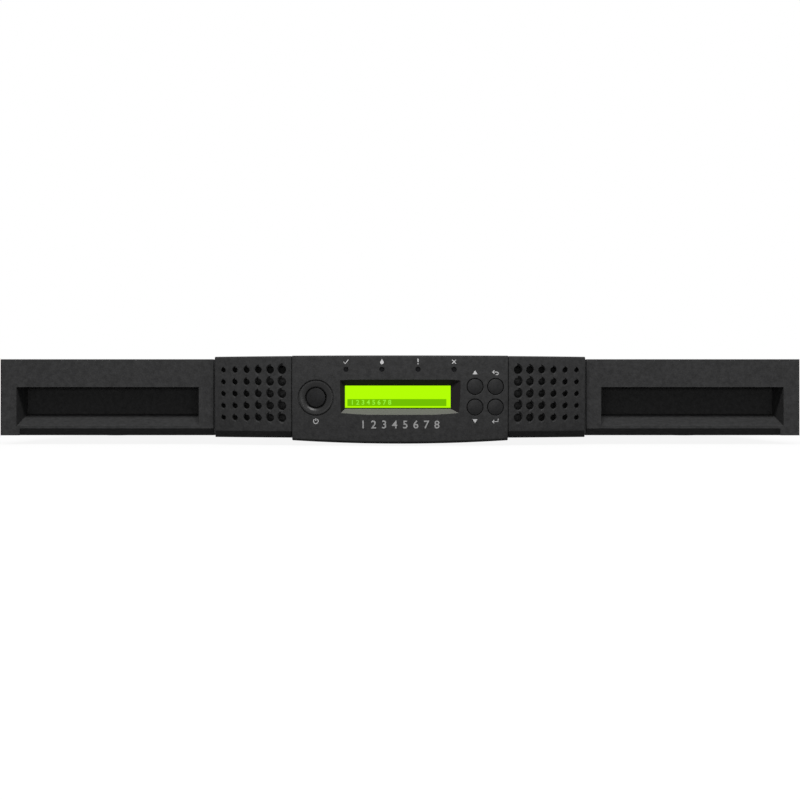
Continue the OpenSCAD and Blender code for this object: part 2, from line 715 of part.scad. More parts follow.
module belt_outline(r) union() {
    translate([belt_x - r, idler_y]) square([2 * r, motor_y - idler_y]);
    translate([belt_x, idler_y]) circle(r);
    translate([belt_x, motor_y]) circle(r);
}
module picker_belt() color([0.1, 0.1, 0.1]) place() translate([0, 0, belt_z])
    linear_extrude(belt_h) difference() {
        belt_outline(pulley_r + belt_t);
        belt_outline(pulley_r);
    }

module pulley(y) difference() {
    union() {
        z_rod(belt_x, y, pulley_r - 0.1, belt_z - 0.8, belt_z + belt_h + 0.8);
        z_rod(belt_x, y, pulley_r + 1.6, belt_z - 0.8, belt_z - 0.2);
        z_rod(belt_x, y, pulley_r + 1.6, belt_z + belt_h + 0.2, belt_z + belt_h + 0.8);
    }
    children();
}
module idler_pulley() color("gainsboro") place() pulley(idler_y)
    z_rod(belt_x, idler_y, pin_r + running_gap, 0, 20);
module idler_pin() color("silver") place() {
    z_rod(belt_x, idler_y, pin_r, sheet_t, belt_z + belt_h + 2);
    z_rod(belt_x, idler_y, pin_r + 1, sheet_t, belt_z - 1.1);
    z_rod(belt_x, idler_y, pin_r + 1, belt_z + belt_h + 1.1, belt_z + belt_h + 2);
}
module drive_pulley() color("gainsboro") place() {
    pulley(motor_y) z_rod(belt_x, motor_y, pin_r / 2, 0, 4);
    z_rod(belt_x, motor_y, pin_r, belt_z + belt_h, motor_z + 5);
}
module picker_motor() color([0.16, 0.16, 0.17]) place() difference() {
    union() {
        block([belt_x - motor_w / 2, motor_y - motor_w / 2, motor_z],
              [belt_x + motor_w / 2, motor_y + motor_w / 2, ceiling_z - 1]);
        // foot that holds the motor to the floor
        block([belt_x - motor_w / 2, motor_y + motor_w / 2 - 2, sheet_t],
              [belt_x + motor_w / 2, motor_y + motor_w / 2, motor_z + eps]);
    }
    z_rod(belt_x, motor_y, pin_r + running_gap, motor_z - 1, motor_z + 6);
}

module carriage() color([0.25, 0.25, 0.27]) place() translate([0, home_y, 0]) difference() {
    union() {
        block([-rod_x, -bush_l / 2, carriage_z], [rod_x, bush_l / 2, carriage_z + carriage_t]);
        for (side = [-1, 1])
            block([side * rod_x - bush_r, -bush_l / 2, rod_z - bush_r],
                  [side * rod_x + bush_r, bush_l / 2, rod_z + bush_r]);
        z_rod(0, 0, pivot_r, carriage_z, disc_z + 2.2);
        z_rod(0, 0, pivot_r + 14, carriage_z, disc_z - 0.1);
        // clamp over the belt's near run
        block([rod_x + bush_r - eps, -8, belt_z + belt_h + belt_gap],
              [belt_x - pulley_r + belt_gap + 1.1, 8, rod_z + bush_r]);
        block([belt_x - pulley_r + belt_gap, -8, belt_z + 1],
              [belt_x - pulley_r + belt_gap + 1.1, 8, rod_z + bush_r]);
    }
    for (side = [-1, 1])
        y_rod(side * rod_x, rod_z, rod_d / 2 + running_gap, -bush_l, bush_l);
}

module turntable() color([0.33, 0.33, 0.35]) place() translate([0, home_y, 0]) difference() {
    union() {
        z_rod(0, 0, 46, disc_z, slot_floor_z - cradle_floor_t + eps);
        block([-cradle_w / 2, -cradle_l / 2, slot_floor_z - cradle_floor_t],
              [cradle_w / 2, cradle_l / 2, slot_floor_z]);
        for (side = [-1, 1]) on_side(side)
            block([cradle_w / 2 - cradle_wall_t, -cradle_l / 2, slot_floor_z - eps],
                  [cradle_w / 2, cradle_l / 2, slot_floor_z + cradle_wall_h]);
    }
    z_rod(0, 0, pivot_r + running_gap, 0, disc_z + 2.5);
    // grooves for the gripper arms
    for (side = [-1, 1])
        block([side * arm_x - arm_w / 2 - 0.4, -cradle_l, slot_floor_z - arm_t - 0.7],
              [side * arm_x + arm_w / 2 + 0.4, cradle_l, slot_floor_z + 1]);
}

module gripper() color("silver") place() translate([0, home_y, 0]) {
    block([-cradle_w / 2 + cradle_wall_t + 0.4, bar_y - 2.5, slot_floor_z + 0.3],
          [cradle_w / 2 - cradle_wall_t - 0.4, bar_y + 2.5, slot_floor_z + 12]);
    for (side = [-1, 1]) {
        block([side * arm_x - arm_w / 2, bar_y - 2.5, slot_floor_z - arm_t - 0.3],
              [side * arm_x + arm_w / 2, bar_y + arm_reach, slot_floor_z - 0.3]);
        block([side * arm_x - arm_w / 2, bar_y - 2.5, slot_floor_z - 0.4],
              [side * arm_x + arm_w / 2, bar_y + 2.5, slot_floor_z + 1]);
        block([side * arm_x - arm_w / 2, bar_y + arm_reach - 1.5, slot_floor_z - arm_t - 0.3],
              [side * arm_x + arm_w / 2, bar_y + arm_reach, slot_floor_z + 2]);
    }
}

// ---- Tape drive and its sled ----

thumb_x = sled_x + 5.5;
thumb_z = chassis_h / 2;
sled_plate_y = chassis_d + sled_plate_gap;
sled_plate_x = thumb_x + thumb_d / 2 + 0.5;
handle_x = 22;
handle_reach = 10;
sas_x = 48;

module drive_sled() color("gray") place() difference() {
    union() {
        block([-sled_x, drive_front_y, sled_z], [sled_x, sled_plate_y + eps, sled_z + sheet_t]);
        for (side = [-1, 1]) on_side(side)
            block([sled_x - sheet_t, drive_front_y, sled_z], [sled_x, sled_plate_y + eps, ceiling_z - 0.6]);
        block([-sled_plate_x, sled_plate_y, 3], [sled_plate_x, sled_plate_y + sheet_t, ceiling_z - 2]);
        // pull handle
        for (side = [-1, 1])
            block([side * handle_x - 1.5, sled_plate_y + sheet_t - eps, thumb_z - 4],
                  [side * handle_x + 1.5, sled_plate_y + sheet_t + handle_reach, thumb_z + 4]);
        block([-handle_x - 1.5, sled_plate_y + sheet_t + handle_reach - 2.5, thumb_z - 4],
              [handle_x + 1.5, sled_plate_y + sheet_t + handle_reach, thumb_z + 4]);
    }
    for (side = [-1, 1])
        y_rod(side * thumb_x, thumb_z, 2 + running_gap, sled_plate_y - 1, sled_plate_y + sheet_t + 1);
    translate([-fan_x, sled_plate_y + sheet_t, fan_z]) grille(fan_w / 2 - 2);
    block([sas_x - 14, sled_plate_y - 1, fan_z - 5], [sas_x + 14, sled_plate_y + sheet_t + 1, fan_z + 5]);
}

drive_z = sled_z + sheet_t;
mouth_w = slot_w + 1;
mouth_l = 46;
module tape_drive() color([0.45, 0.46, 0.48]) place() difference() {
    union() {
        block([-drive_w / 2, drive_front_y + drive_gap, drive_z],
              [drive_w / 2, drive_front_y + drive_gap + drive_l, drive_z + drive_h]);
        // data connector at the back, reached through the sled's plate
        block([sas_x - 13, drive_front_y + drive_l, fan_z - 4], [sas_x + 13, sled_plate_y + 0.4, fan_z + 4]);
    }
    block([-mouth_w / 2, drive_front_y - 1, slot_floor_z - 3],
          [mouth_w / 2, drive_front_y + mouth_l, slot_floor_z + cartridge_h + 2]);
    for (dx = [-6.5, 6.5])
        block([sas_x + dx - 5, sled_plate_y - 8, fan_z - 2.5], [sas_x + dx + 5, sled_plate_y + 1, fan_z + 2.5]);
}

// A square axial fan: frame with a round duct, and three struts that hold the hub
hub_r = 10;
module fan_frame(x, back_y) color([0.12, 0.12, 0.12]) place() translate([x, back_y - fan_t, fan_z]) {
    difference() {
        block([-fan_w / 2, 0, -fan_w / 2], [fan_w / 2, fan_t, fan_w / 2]);
        y_rod(0, 0, fan_w / 2 - 1.5, -1, fan_t + 1);
        for (dx = [-1, 1], dz = [-1, 1])
            y_rod(dx * (fan_w / 2 - 3), dz * (fan_w / 2 - 3), 1.2, -1, fan_t + 1);
    }
    for (a = [90, 210, 330]) rotate([0, a, 0])
        block([hub_r - 3, 0, -1], [fan_w / 2 - 1.4, 2, 1]);
    y_rod(0, 0, hub_r - 1, 0, 2);
    y_rod(0, 0, pin_r, 2 - eps, 7);
}
module fan_rotor(x, back_y) color([0.2, 0.2, 0.2]) place() translate([x, back_y - fan_t, fan_z])
difference() {
    union() {
        y_rod(0, 0, hub_r, 2.5, fan_t - 0.6);
        for (a = [0 : 360 / 7 : 359]) rotate([0, a, 0]) intersection() {
            translate([0, fan_t / 2 + 0.6, 0]) rotate([38, 0, 0])
                block([hub_r - 1.5, -7, -0.5], [fan_w / 2 - 2.2, 7, 0.5]);
            y_rod(0, 0, fan_w / 2 - 2, 3, fan_t - 0.8);
        }
    }
    y_rod(0, 0, pin_r + running_gap, 0, 7.5);
}
module drive_fan_frame() fan_frame(-fan_x, sled_plate_y);
module drive_fan_rotor() fan_rotor(-fan_x, sled_plate_y);
module supply_fan_frame() fan_frame(supply_fan_x, chassis_d - sheet_t);
module supply_fan_rotor() fan_rotor(supply_fan_x, chassis_d - sheet_t);

// Knurled head with a driver slot, and a shank that reaches through the sled's plate
module thumbscrew(side) color("silver") place()
    translate([side * thumb_x, sled_plate_y + sheet_t, thumb_z]) {
        y_rod(0, 0, 1.8, -sled_plate_gap - sheet_t - 4, 1);
        difference() {
            y_rod(0, 0, thumb_d / 2, 0.3, thumb_l);
            block([-0.7, thumb_l - 1.5, -thumb_d], [0.7, thumb_l + 1, thumb_d]);
            for (a = [0 : 20 : 340]) rotate([0, a, 0])
                block([thumb_d / 2 - 0.4, 2, -0.35], [thumb_d / 2 + 1, thumb_l + 1, 0.35]);
        }
    }
module left_thumbscrew() thumbscrew(-1);
module right_thumbscrew() thumbscrew(1);

// ---- Power and control, behind the magazines ----

module power_supply() color("silver") place() difference() {
    block([-wall_x + 0.5, supply_front_y, sheet_t],
          [-wall_x + supply_w, chassis_d - sheet_t, ceiling_z - sheet_t - 0.2]);
    // hollow behind the fan and the inlet, and air slots in front
    block([supply_fan_x - fan_w / 2 - 0.2, chassis_d - 48, fan_z - fan_w / 2 - 0.2],
          [supply_fan_x + fan_w / 2 + 0.2, chassis_d, fan_z + fan_w / 2 + 0.2]);
    block([inlet_x - inlet_w / 2 - 0.5, chassis_d - 32, fan_z - inlet_h / 2 - 0.5],
          [inlet_x + inlet_w / 2 + 0.5, chassis_d, fan_z + inlet_h / 2 + 0.5]);
    for (i = [0 : 9])
        block([-wall_x + 12 + i * 9, supply_front_y - 1, 8], [-wall_x + 16 + i * 9, supply_front_y + 12, 32]);
}

// Three-pin mains inlet
module power_inlet() color([0.1, 0.1, 0.1]) place() {
    difference() {
        union() {
            block([inlet_x - inlet_w / 2, chassis_d - 26, fan_z - inlet_h / 2],
                  [inlet_x + inlet_w / 2, chassis_d + 0.8, fan_z + inlet_h / 2]);
            block([inlet_x - inlet_w / 2 - 2, chassis_d, fan_z - inlet_h / 2 - 2],
                  [inlet_x + inlet_w / 2 + 2, chassis_d + 2, fan_z + inlet_h / 2 + 2]);
        }
        block([inlet_x - 12, chassis_d - 15, fan_z - 8], [inlet_x + 12, chassis_d + 3, fan_z + 8]);
    }
    for (dx = [-7, 0, 7])
        block([inlet_x + dx - 1, chassis_d - 16, fan_z + (dx == 0 ? 1 : -4)],
              [inlet_x + dx + 1, chassis_d - 4, fan_z + (dx == 0 ? 5 : 0)]);
}

// Port: middle in x, width, height
ports = [[wall_x - 76.3, 16.4, 13.6], [wall_x - 50.3, 13.4, 6.2], [wall_x - 21.3, 19, 10.6]];
pcb_z = port_z - board_t;
pcb_l = 190;
pcb_x0 = wall_x - 110.3;
pcb_x1 = wall_x - 6.3;
pcb_y0 = chassis_d - pcb_l;
pcb_hole_x = [pcb_x0 + 6, pcb_x1 - 6];
pcb_hole_y = [pcb_y0 + 8, chassis_d - 40];
module controller_board() color("seagreen") place() {
    difference() {
        block([pcb_x0, pcb_y0, pcb_z], [pcb_x1, chassis_d - 3, port_z]);
        for (x = pcb_hole_x, y = pcb_hole_y) z_rod(x, y, 1.6, 0, 20);
    }
    // heat sink with fins, processor, capacitors, and a plug row
    translate([pcb_x0, pcb_y0, port_z]) {
        block([28, 60, -eps], [64, 96, 2.5]);
        for (i = [0 : 8]) block([28 + i * 4.3, 60, 2], [29.4 + i * 4.3, 96, 14]);
        block([74, 64, -eps], [92, 82, 2]);
        for (x = [10, 18.5]) z_rod(x, 40, 3.6, -eps, 12);
        block([38, 6, -eps], [88, 13, 8]);
    }
}
module board_standoffs() color("gold") place()
    for (x = pcb_hole_x, y = pcb_hole_y) {
        z_rod(x, y, 3, sheet_t, pcb_z);
        z_rod(x, y, 1.5, pcb_z - eps, port_z + 0.2);
        z_rod(x, y, 2.8, port_z, port_z + 1.4);
    }

module port(i, length, hollow) {
    p = ports[i];
    difference() {
        block([p[0] - p[1] / 2, chassis_d - length, port_z],
              [p[0] + p[1] / 2, chassis_d + 0.5, port_z + p[2]]);
        block([p[0] - p[1] / 2 + 1.4, chassis_d - hollow, port_z + 1.2],
              [p[0] + p[1] / 2 - 1.4, chassis_d + 1, port_z + p[2] - 1.2]);
    }
}
module network_port() color("silver") place() port(0, 18, 13);
module usb_port() color("silver") place() {
    port(1, 16, 12);
    block([ports[1][0] - 4, chassis_d - 12 - eps, port_z + 3.6],
          [ports[1][0] + 4, chassis_d - 3, port_z + 5]);
}
module serial_port() color("silver") place() {
    port(2, 12, 6);
    for (row = [[6.8, 2], [3.8, 1.5]], i = [-row[1] : row[1]])
        y_rod(ports[2][0] + i * 2.7, port_z + row[0], 0.5, chassis_d - 6 - eps, chassis_d - 1);
}

base_tray();
top_cover();
rear_panel();
front_frame();
left_bay_wall();
right_bay_wall();
feet();
cover_screws();
left_vent_panel();
right_vent_panel();
control_panel();
display_window();
display_module();
light_pipes();
panel_board();
power_button();
up_button();
down_button();
cancel_button();
enter_button();
left_magazine_face();
left_magazine_tray();
left_magazine_springs();
left_magazine_catch();
right_magazine_face();
right_magazine_tray();
right_magazine_springs();
right_magazine_catch();
left_latch_housing();
left_latch_pin();
right_latch_housing();
right_latch_pin();
guide_rods();
rod_brackets();
picker_belt();
idler_pin();
idler_pulley();
drive_pulley();
picker_motor();
carriage();
turntable();
gripper();
drive_sled();
tape_drive();
drive_fan_frame();
drive_fan_rotor();
left_thumbscrew();
right_thumbscrew();
power_supply();
power_inlet();
supply_fan_frame();
supply_fan_rotor();
controller_board();
board_standoffs();
network_port();
usb_port();
serial_port();
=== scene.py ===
# Looks of a one-unit data tape library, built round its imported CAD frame.
# Metres, +X to the right seen from the front, the front faces -Y, +Z up.
import math

import bmesh
import bpy
from mathutils import Matrix, Vector


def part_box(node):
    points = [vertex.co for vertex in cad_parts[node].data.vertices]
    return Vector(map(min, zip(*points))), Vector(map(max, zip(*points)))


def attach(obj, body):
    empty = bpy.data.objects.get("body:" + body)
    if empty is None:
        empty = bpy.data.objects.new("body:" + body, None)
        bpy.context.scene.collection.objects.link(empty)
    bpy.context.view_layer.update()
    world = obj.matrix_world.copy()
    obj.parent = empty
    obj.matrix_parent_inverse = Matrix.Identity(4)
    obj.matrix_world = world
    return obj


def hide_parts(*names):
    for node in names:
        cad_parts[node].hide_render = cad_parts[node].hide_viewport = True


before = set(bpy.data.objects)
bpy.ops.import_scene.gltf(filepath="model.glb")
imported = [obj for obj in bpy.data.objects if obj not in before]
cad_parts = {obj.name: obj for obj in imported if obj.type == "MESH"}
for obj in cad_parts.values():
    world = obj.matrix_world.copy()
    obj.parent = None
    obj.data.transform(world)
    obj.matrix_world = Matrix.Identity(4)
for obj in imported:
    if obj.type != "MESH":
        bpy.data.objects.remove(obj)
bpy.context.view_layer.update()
MM = 0.001


# ---- Places, all from the frame ----

def centre(node):
    """The middle of a node's box."""
    low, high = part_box(node)
    return (low + high) / 2


FACE_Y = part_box("left_magazine_face")[0].y
FACE_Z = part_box("left_magazine_face")[0].z
PANEL_LOW, PANEL_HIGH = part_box("control_panel")
WINDOW_LOW, WINDOW_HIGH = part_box("display_window")
LIGHT_Z = centre("light_pipes").z
LIGHT_PITCH = 19.5 * MM
LIGHTS = [(i - 1.5) * LIGHT_PITCH for i in range(4)]
TAPE_SLOTS = 8

# The lit part of the display, and the deeper band near its lower edge
LIT_LEFT, LIT_RIGHT = WINDOW_LOW.x + 2 * MM, WINDOW_HIGH.x - 2 * MM
LIT_LOW, LIT_HIGH = WINDOW_LOW.z + 1.6 * MM, WINDOW_HIGH.z - 1.6 * MM
BAND_LOW, BAND_HIGH = LIT_LOW + 1.5 * MM, LIT_LOW + 5.3 * MM

# Plan radii of the curved front, and the radius of the control panel's lower edge
PANEL_R = 293 * MM
VENT_R = 217 * MM
SMILE_R = 995 * MM
# Upright radius of both mouldings, and the height of their foremost line
CROWN_R = 215 * MM
CROWN_Z = FACE_Z + 30 * MM
WALL = 2.5 * MM
# The display's frame: how wide its slopes are, how deep, and the straight rim behind them
BEVEL_LEFT, BEVEL_RIGHT, BEVEL_H, BEVEL_BACK = 3.0 * MM, 6.2 * MM, 3.2 * MM, 3.9 * MM
RIM = 0.8 * MM
SLOPE_END_Y = WINDOW_LOW.y - RIM
GLASS_FRONT_Y = WINDOW_LOW.y - 0.4 * MM
KEYS = {"up_button": "up_key", "down_button": "down_key", "cancel_button": "cancel_key",
        "enter_button": "enter_key"}


def sag(radius, x):
    """How far a curve of this radius falls back at the distance x from its foremost point."""
    return radius - math.sqrt(radius * radius - x * x)


def crown(z):
    """How far the curved mouldings fall back above and below their foremost line."""
    return sag(CROWN_R, z - CROWN_Z)


def panel_y(x, z):
    """The control panel's face in front of the point (x, z)."""
    return PANEL_LOW.y + sag(PANEL_R, x) + crown(z)


# ---- Mesh tools ----

def new_object(name, data):
    """An object in the scene, with a mesh, a lamp or a camera as its data."""
    obj = bpy.data.objects.new(name, data)
    bpy.context.scene.collection.objects.link(obj)
    return obj


def from_bmesh(name, bm, recalculate=True):
    """A mesh object, with its faces turned outward unless they already are."""
    if recalculate:
        bmesh.ops.recalc_face_normals(bm, faces=bm.faces)
    mesh = bpy.data.meshes.new(name)
    bm.to_mesh(mesh)
    bm.free()
    return new_object(name, mesh)


def plain_mesh(obj):
    """The plain mesh that an object's modifiers or curve settings make."""
    graph = bpy.context.evaluated_depsgraph_get()
    return bpy.data.meshes.new_from_object(obj.evaluated_get(graph))


def apply_modifiers(obj):
    """Turns the object into the plain mesh that its modifiers make."""
    mesh = plain_mesh(obj)
    obj.modifiers.clear()
    old = obj.data
    obj.data = mesh
    mesh.name = obj.name
    bpy.data.meshes.remove(old)


def bevel(obj, width, segments, angle=35):
    """Rounds the edges that are sharper than the angle."""
    mod = obj.modifiers.new("edges", "BEVEL")
    mod.width = width
    mod.segments = segments
    mod.limit_method = "ANGLE"
    mod.angle_limit = math.radians(angle)
    mod.use_clamp_overlap = True
    apply_modifiers(obj)


def cut(obj, cutter):
    """Takes one closed solid out of another."""
    mod = obj.modifiers.new("cut", "BOOLEAN")
    mod.operation = "DIFFERENCE"
    mod.solver = "EXACT"
    mod.object = cutter
    apply_modifiers(obj)
    bpy.data.objects.remove(cutter)


def smooth(obj, angle=32):
    """Shades round stretches smooth, and keeps large flats flat up to their bevels."""
    obj.data.shade_smooth()
    obj.data.set_sharp_from_angle(angle=math.radians(angle))
    mod = obj.modifiers.new("normals", "WEIGHTED_NORMAL")
    mod.keep_sharp = True
    mod.weight = 80
    apply_modifiers(obj)


def join(name, objects):
    """One plain mesh from several, each with its own materials kept."""
    bm = bmesh.new()
    slots = []
    for obj in objects:
        start = len(bm.faces)
        bm.from_mesh(obj.data)
        bm.faces.ensure_lookup_table()
        for face in bm.faces[start:]:
            mats = obj.data.materials
            mat = mats[face.material_index] if len(mats) else None
            if mat not in slots:
                slots.append(mat)
            face.material_index = slots.index(mat)
        bpy.data.objects.remove(obj)
    made = from_bmesh(name, bm, recalculate=False)
    for mat in slots:
        if mat:
            made.data.materials.append(mat)
    return made


def block(name, low, high):
    """A box between two corners."""
    low, high = Vector(low), Vector(high)
    bm = bmesh.new()
    made = bmesh.ops.create_cube(bm, size=1)
    bmesh.ops.scale(bm, vec=high - low, verts=made["verts"])
    bmesh.ops.translate(bm, vec=(low + high) / 2, verts=made["verts"])
    return from_bmesh(name, bm)


def frustum(name, low_rect, high_rect):
    """A closed solid between two rectangles that lie across Y: (x0, z0, x1, z1, y) each."""
    bm = bmesh.new()
    rings = []
    for x0, z0, x1, z1, y in (low_rect, high_rect):
        rings.append([bm.verts.new(p) for p in ((x0, y, z0), (x1, y, z0), (x1, y, z1), (x0, y, z1))])
    bm.faces.new(rings[0])
    bm.faces.new(rings[1][::-1])
    for i in range(4):
        k = (i + 1) % 4
        bm.faces.new((rings[0][i], rings[0][k], rings[1][k], rings[1][i]))
    return from_bmesh(name, bm)


def lathe(name, profile, place, segments=64):
    """A closed turned solid: profile is (radius, y) pairs, turned about an axis along Y through place."""
    bm = bmesh.new()
    rings = []
    for radius, y in profile:
        if radius < 1e-7:
            rings.append([bm.verts.new((place[0], y, place[2]))])
            continue
        ring = []
        for i in range(segments):
            a = 2 * math.pi * i / segments
            x, z = place[0] + radius * math.cos(a), place[2] + radius * math.sin(a)
            ring.append(bm.verts.new((x, y, z)))
        rings.append(ring)
    for one, two in zip(rings, rings[1:]):
        for i in range(segments):
            k = (i + 1) % segments
            if len(one) == 1 and len(two) == 1:
                break
            if len(one) == 1:
                bm.faces.new((one[0], two[i], two[k]))
            elif len(two) == 1:
                bm.faces.new((one[i], one[k], two[0]))
            else:
                bm.faces.new((one[i], one[k], two[k], two[i]))
    for ring in (rings[0], rings[-1]):
        if len(ring) > 1:
            bm.faces.new(ring)
    return from_bmesh(name, bm)


def wrap(obj):
    """Bends a piece made about y = 0 onto the control panel's face."""
    for vertex in obj.data.vertices:
        vertex.co.y += panel_y(vertex.co.x, vertex.co.z)
    return obj


def arc(x0, y0, radius, start, end, steps):
    """Points of an arc about (x0, y0), angles in degrees."""
    points = []
    for i in range(steps + 1):
        a = math.radians(start + (end - start) * i / steps)
        points.append((x0 + radius * math.cos(a), y0 + radius * math.sin(a)))
    return points


def cad_copy(name, node):
    """A clean copy of a CAD node: merged, with the flat faces joined up again."""
    bm = bmesh.new()
    bm.from_mesh(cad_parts[node].data)
    bmesh.ops.remove_doubles(bm, verts=bm.verts, dist=2e-6)
    bmesh.ops.dissolve_limit(bm, angle_limit=math.radians(0.3), verts=bm.verts, edges=bm.edges)
    return from_bmesh(name, bm, recalculate=False)


def mount(obj, body, slot, *nodes, material=None):
    """Puts a finished piece on its body, in place of the CAD nodes that it stands for."""
    if material:
        obj.data.materials.clear()
        obj.data.materials.append(material)
    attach(obj, body)
    if nodes:
        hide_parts(*nodes)


# ---- Node tools ----

class Wire:
    """One output of a node, with arithmetic that adds Math nodes."""

    def __init__(self, owner, socket):
        self.owner = owner
        self.socket = socket

    def math(self, operation, *others, first=None):
        values = [self if first is None else first, *others]
        if first is not None:
            values.append(self)
        return self.owner.math(operation, *values)

    def __add__(self, other):
        return self.math("ADD", other)

    __radd__ = __add__

    def __sub__(self, other):
        return self.math("SUBTRACT", other)

    def __rsub__(self, other):
        return self.math("SUBTRACT", first=other)

    def __mul__(self, other):
        return self.math("MULTIPLY", other)

    __rmul__ = __mul__

    def __truediv__(self, other):
        return self.math("DIVIDE", other)

    def __rtruediv__(self, other):
        return self.math("DIVIDE", first=other)

    def __gt__(self, other):
        return self.math("GREATER_THAN", other)

    def __lt__(self, other):
        return self.math("LESS_THAN", other)

    def within(self, low, high):
        return (self > low) * (self < high)

    def or_else(self, other):
        return self.math("MAXIMUM", other)

    def clamped(self):
        return self.math("MINIMUM", 1).or_else(0)

    def every(self, pitch):
        """The distance into the current step of a pattern that repeats."""
        return self.math("FLOORED_MODULO", pitch)


def toned(colour, factor):
    """A colour made lighter or darker."""
    return tuple(c * factor for c in colour[:3])


class NodeTree:
    """A node tree that is written as expressions."""

    def __init__(self, tree):
        self.tree = tree

    def feed(self, socket, value):
        if isinstance(value, Wire):
            self.tree.links.new(value.socket, socket)
        else:
            socket.default_value = value

    def node(self, kind, settings=None, output=None, **sockets):
        """Any node: its settings are set first, then its sockets, which go by identifier."""
        made = self.tree.nodes.new(kind)
        for key, value in (settings or {}).items():
            setattr(made, key, value)
        inputs = {socket.identifier.replace(" ", "_"): socket for socket in made.inputs}
        for key, value in sockets.items():
            self.feed(inputs[key], value)
        outputs = {socket.identifier: socket for socket in made.outputs}
        return Wire(self, outputs[output] if output else made.outputs[0]) if outputs else None

    def math(self, operation, *values):
        names = ("Value", "Value_001", "Value_002")
        return self.node("ShaderNodeMath", {"operation": operation}, **dict(zip(names, values)))

    def joined(self, x=0.0, y=0.0, z=0.0):
        return self.node("ShaderNodeCombineXYZ", X=x, Y=y, Z=z)


def blank_tree(owner):
    """The emptied node tree of a material or a world."""
    owner.use_nodes = True
    owner.node_tree.nodes.clear()
    return NodeTree(owner.node_tree)


class Finish(NodeTree):
    """A material with one Principled shader, built from expressions on object coordinates."""

    def __init__(self, name, colour, roughness=0.5, metallic=0.0, **constants):
        self.material = bpy.data.materials.new(name)
        self.material.use_nodes = True
        super().__init__(self.material.node_tree)
        self.shader = self.tree.nodes["Principled BSDF"]
        self.colour = (*colour, 1)
        self.set("Base Color", self.colour)
        self.set("Roughness", roughness)
        self.set("Metallic", metallic)
        for key, value in constants.items():
            self.set(key.replace("_", " "), value)
        self.where = self.node("ShaderNodeTexCoord", output="Object")
        self.x, self.y, self.z = (self.node("ShaderNodeSeparateXYZ", output=axis, Vector=self.where)
                                  for axis in "XYZ")

    def set(self, name, value):
        self.feed(self.shader.inputs[name], value)
        return self

    def stretched(self, stretch):
        return self.node("ShaderNodeVectorMath", {"operation": "MULTIPLY"}, Vector=self.where,
                         Vector_001=stretch)

    def noise(self, scale, detail, rough=0.5, stretch=None):
        where = self.stretched(stretch) if stretch else self.where
        return self.node("ShaderNodeTexNoise", Vector=where, Scale=scale, Detail=detail, Roughness=rough)

    def cells(self, scale):
        return self.node("ShaderNodeTexVoronoi", Vector=self.where, Scale=scale)

    def mix(self, factor, one, two):
        one, two = (value if isinstance(value, Wire) or len(value) == 4 else (*value, 1)
                    for value in (one, two))
        return self.node("ShaderNodeMix", {"data_type": "RGBA"}, output="Result_Color",
                         Factor_Float=factor, A_Color=one, B_Color=two)

    def bump(self, height, distance, strength=1.0):
        normal = self.node("ShaderNodeBump", Strength=strength, Distance=distance, Height=height)
        return self.set("Normal", normal)

    def shade(self, amount, scale, darker):
        """Varies the base colour slowly between itself and a darker tone."""
        tone = (self.noise(scale, 2) - 0.5) * amount + 0.5
        return self.set("Base Color", self.mix(tone.clamped(), self.colour, toned(self.colour, darker)))


def grained_plastic(name, colour, roughness, grain, depth, specular):
    """Moulded plastic with a spark-eroded grain, a little darker in its pits."""
    finish = Finish(name, colour, roughness, Specular_IOR_Level=specular)
    fine = finish.noise(grain, 2, 0.6)
    cloud = finish.noise(grain * 0.35, 2)
    pits = ((fine - 0.5) * 1.6 + (cloud - 0.5) * 2.0 + 0.5).clamped()
    finish.set("Base Color", finish.mix(pits, toned(colour, 0.8), toned(colour, 1.2)))
    finish.set("Roughness", (fine - 0.5) * 0.24 + roughness)
    return finish.bump(fine, depth).material


def powder_coat(name, colour, roughness):
    """Powder coat over sheet steel, with its orange-peel skin."""
    finish = Finish(name, colour, roughness, Specular_IOR_Level=0.24)
    finish.shade(1.2, 25, 0.86)
    peel = finish.noise(900, 3, 0.55)
    finish.set("Roughness", (finish.noise(70, 2) - 0.5) * 0.16 + roughness)
    return finish.bump(peel, 0.00006, 0.7).material


def zinc_sheet(name, colour, roughness):
    """Bright zinc-plated sheet: rolled lines along Y and a faint spangle."""
    finish = Finish(name, colour, roughness, metallic=1.0)
    spangle = finish.cells(140)
    finish.set("Base Color", finish.mix(spangle * 0.9, finish.colour, toned(colour, 0.78)))
    lines = finish.noise(60, 3, 0.6, stretch=(14, 0.7, 14))
    finish.set("Roughness", (lines - 0.5) * 0.3 + roughness)
    return finish.bump(lines, 0.00001, 0.5).material


def turned_metal(name, colour, roughness):
    """Machined metal with fine tool marks."""
    finish = Finish(name, colour, roughness, metallic=1.0)
    marks = finish.noise(1400, 2, 0.5)
    finish.set("Roughness", (marks - 0.5) * 0.2 + roughness)
    return finish.bump(marks, 0.000004, 0.5).material


def woven_screen(name, colour):
    """Fine black gauze."""
    finish = Finish(name, colour, 0.7, Specular_IOR_Level=0.05)
    warp = (finish.x.every(0.5 * MM) / MM - 0.25).math("ABSOLUTE")
    weft = (finish.z.every(0.5 * MM) / MM - 0.25).math("ABSOLUTE")
    weave = (warp + weft).clamped()
    finish.set("Base Color", finish.mix(weave * 2, finish.colour, toned(colour, 1.5)))
    return finish.bump(weave, 0.0001, 0.8).material


def rubber(name, colour):
    """Dull moulded rubber."""
    finish = Finish(name, colour, 0.75, Specular_IOR_Level=0.35)
    finish.shade(1.4, 120, 0.7)
    return finish.bump(finish.noise(1800, 2), 0.00003, 0.6).material


MASK_GREEN, TRACK_GREEN, UNLIT_GREEN = (0.012, 0.11, 0.05), (0.03, 0.24, 0.11), (0.0, 0.002, 0.0)
TRACK_PITCH = 2.54 * MM


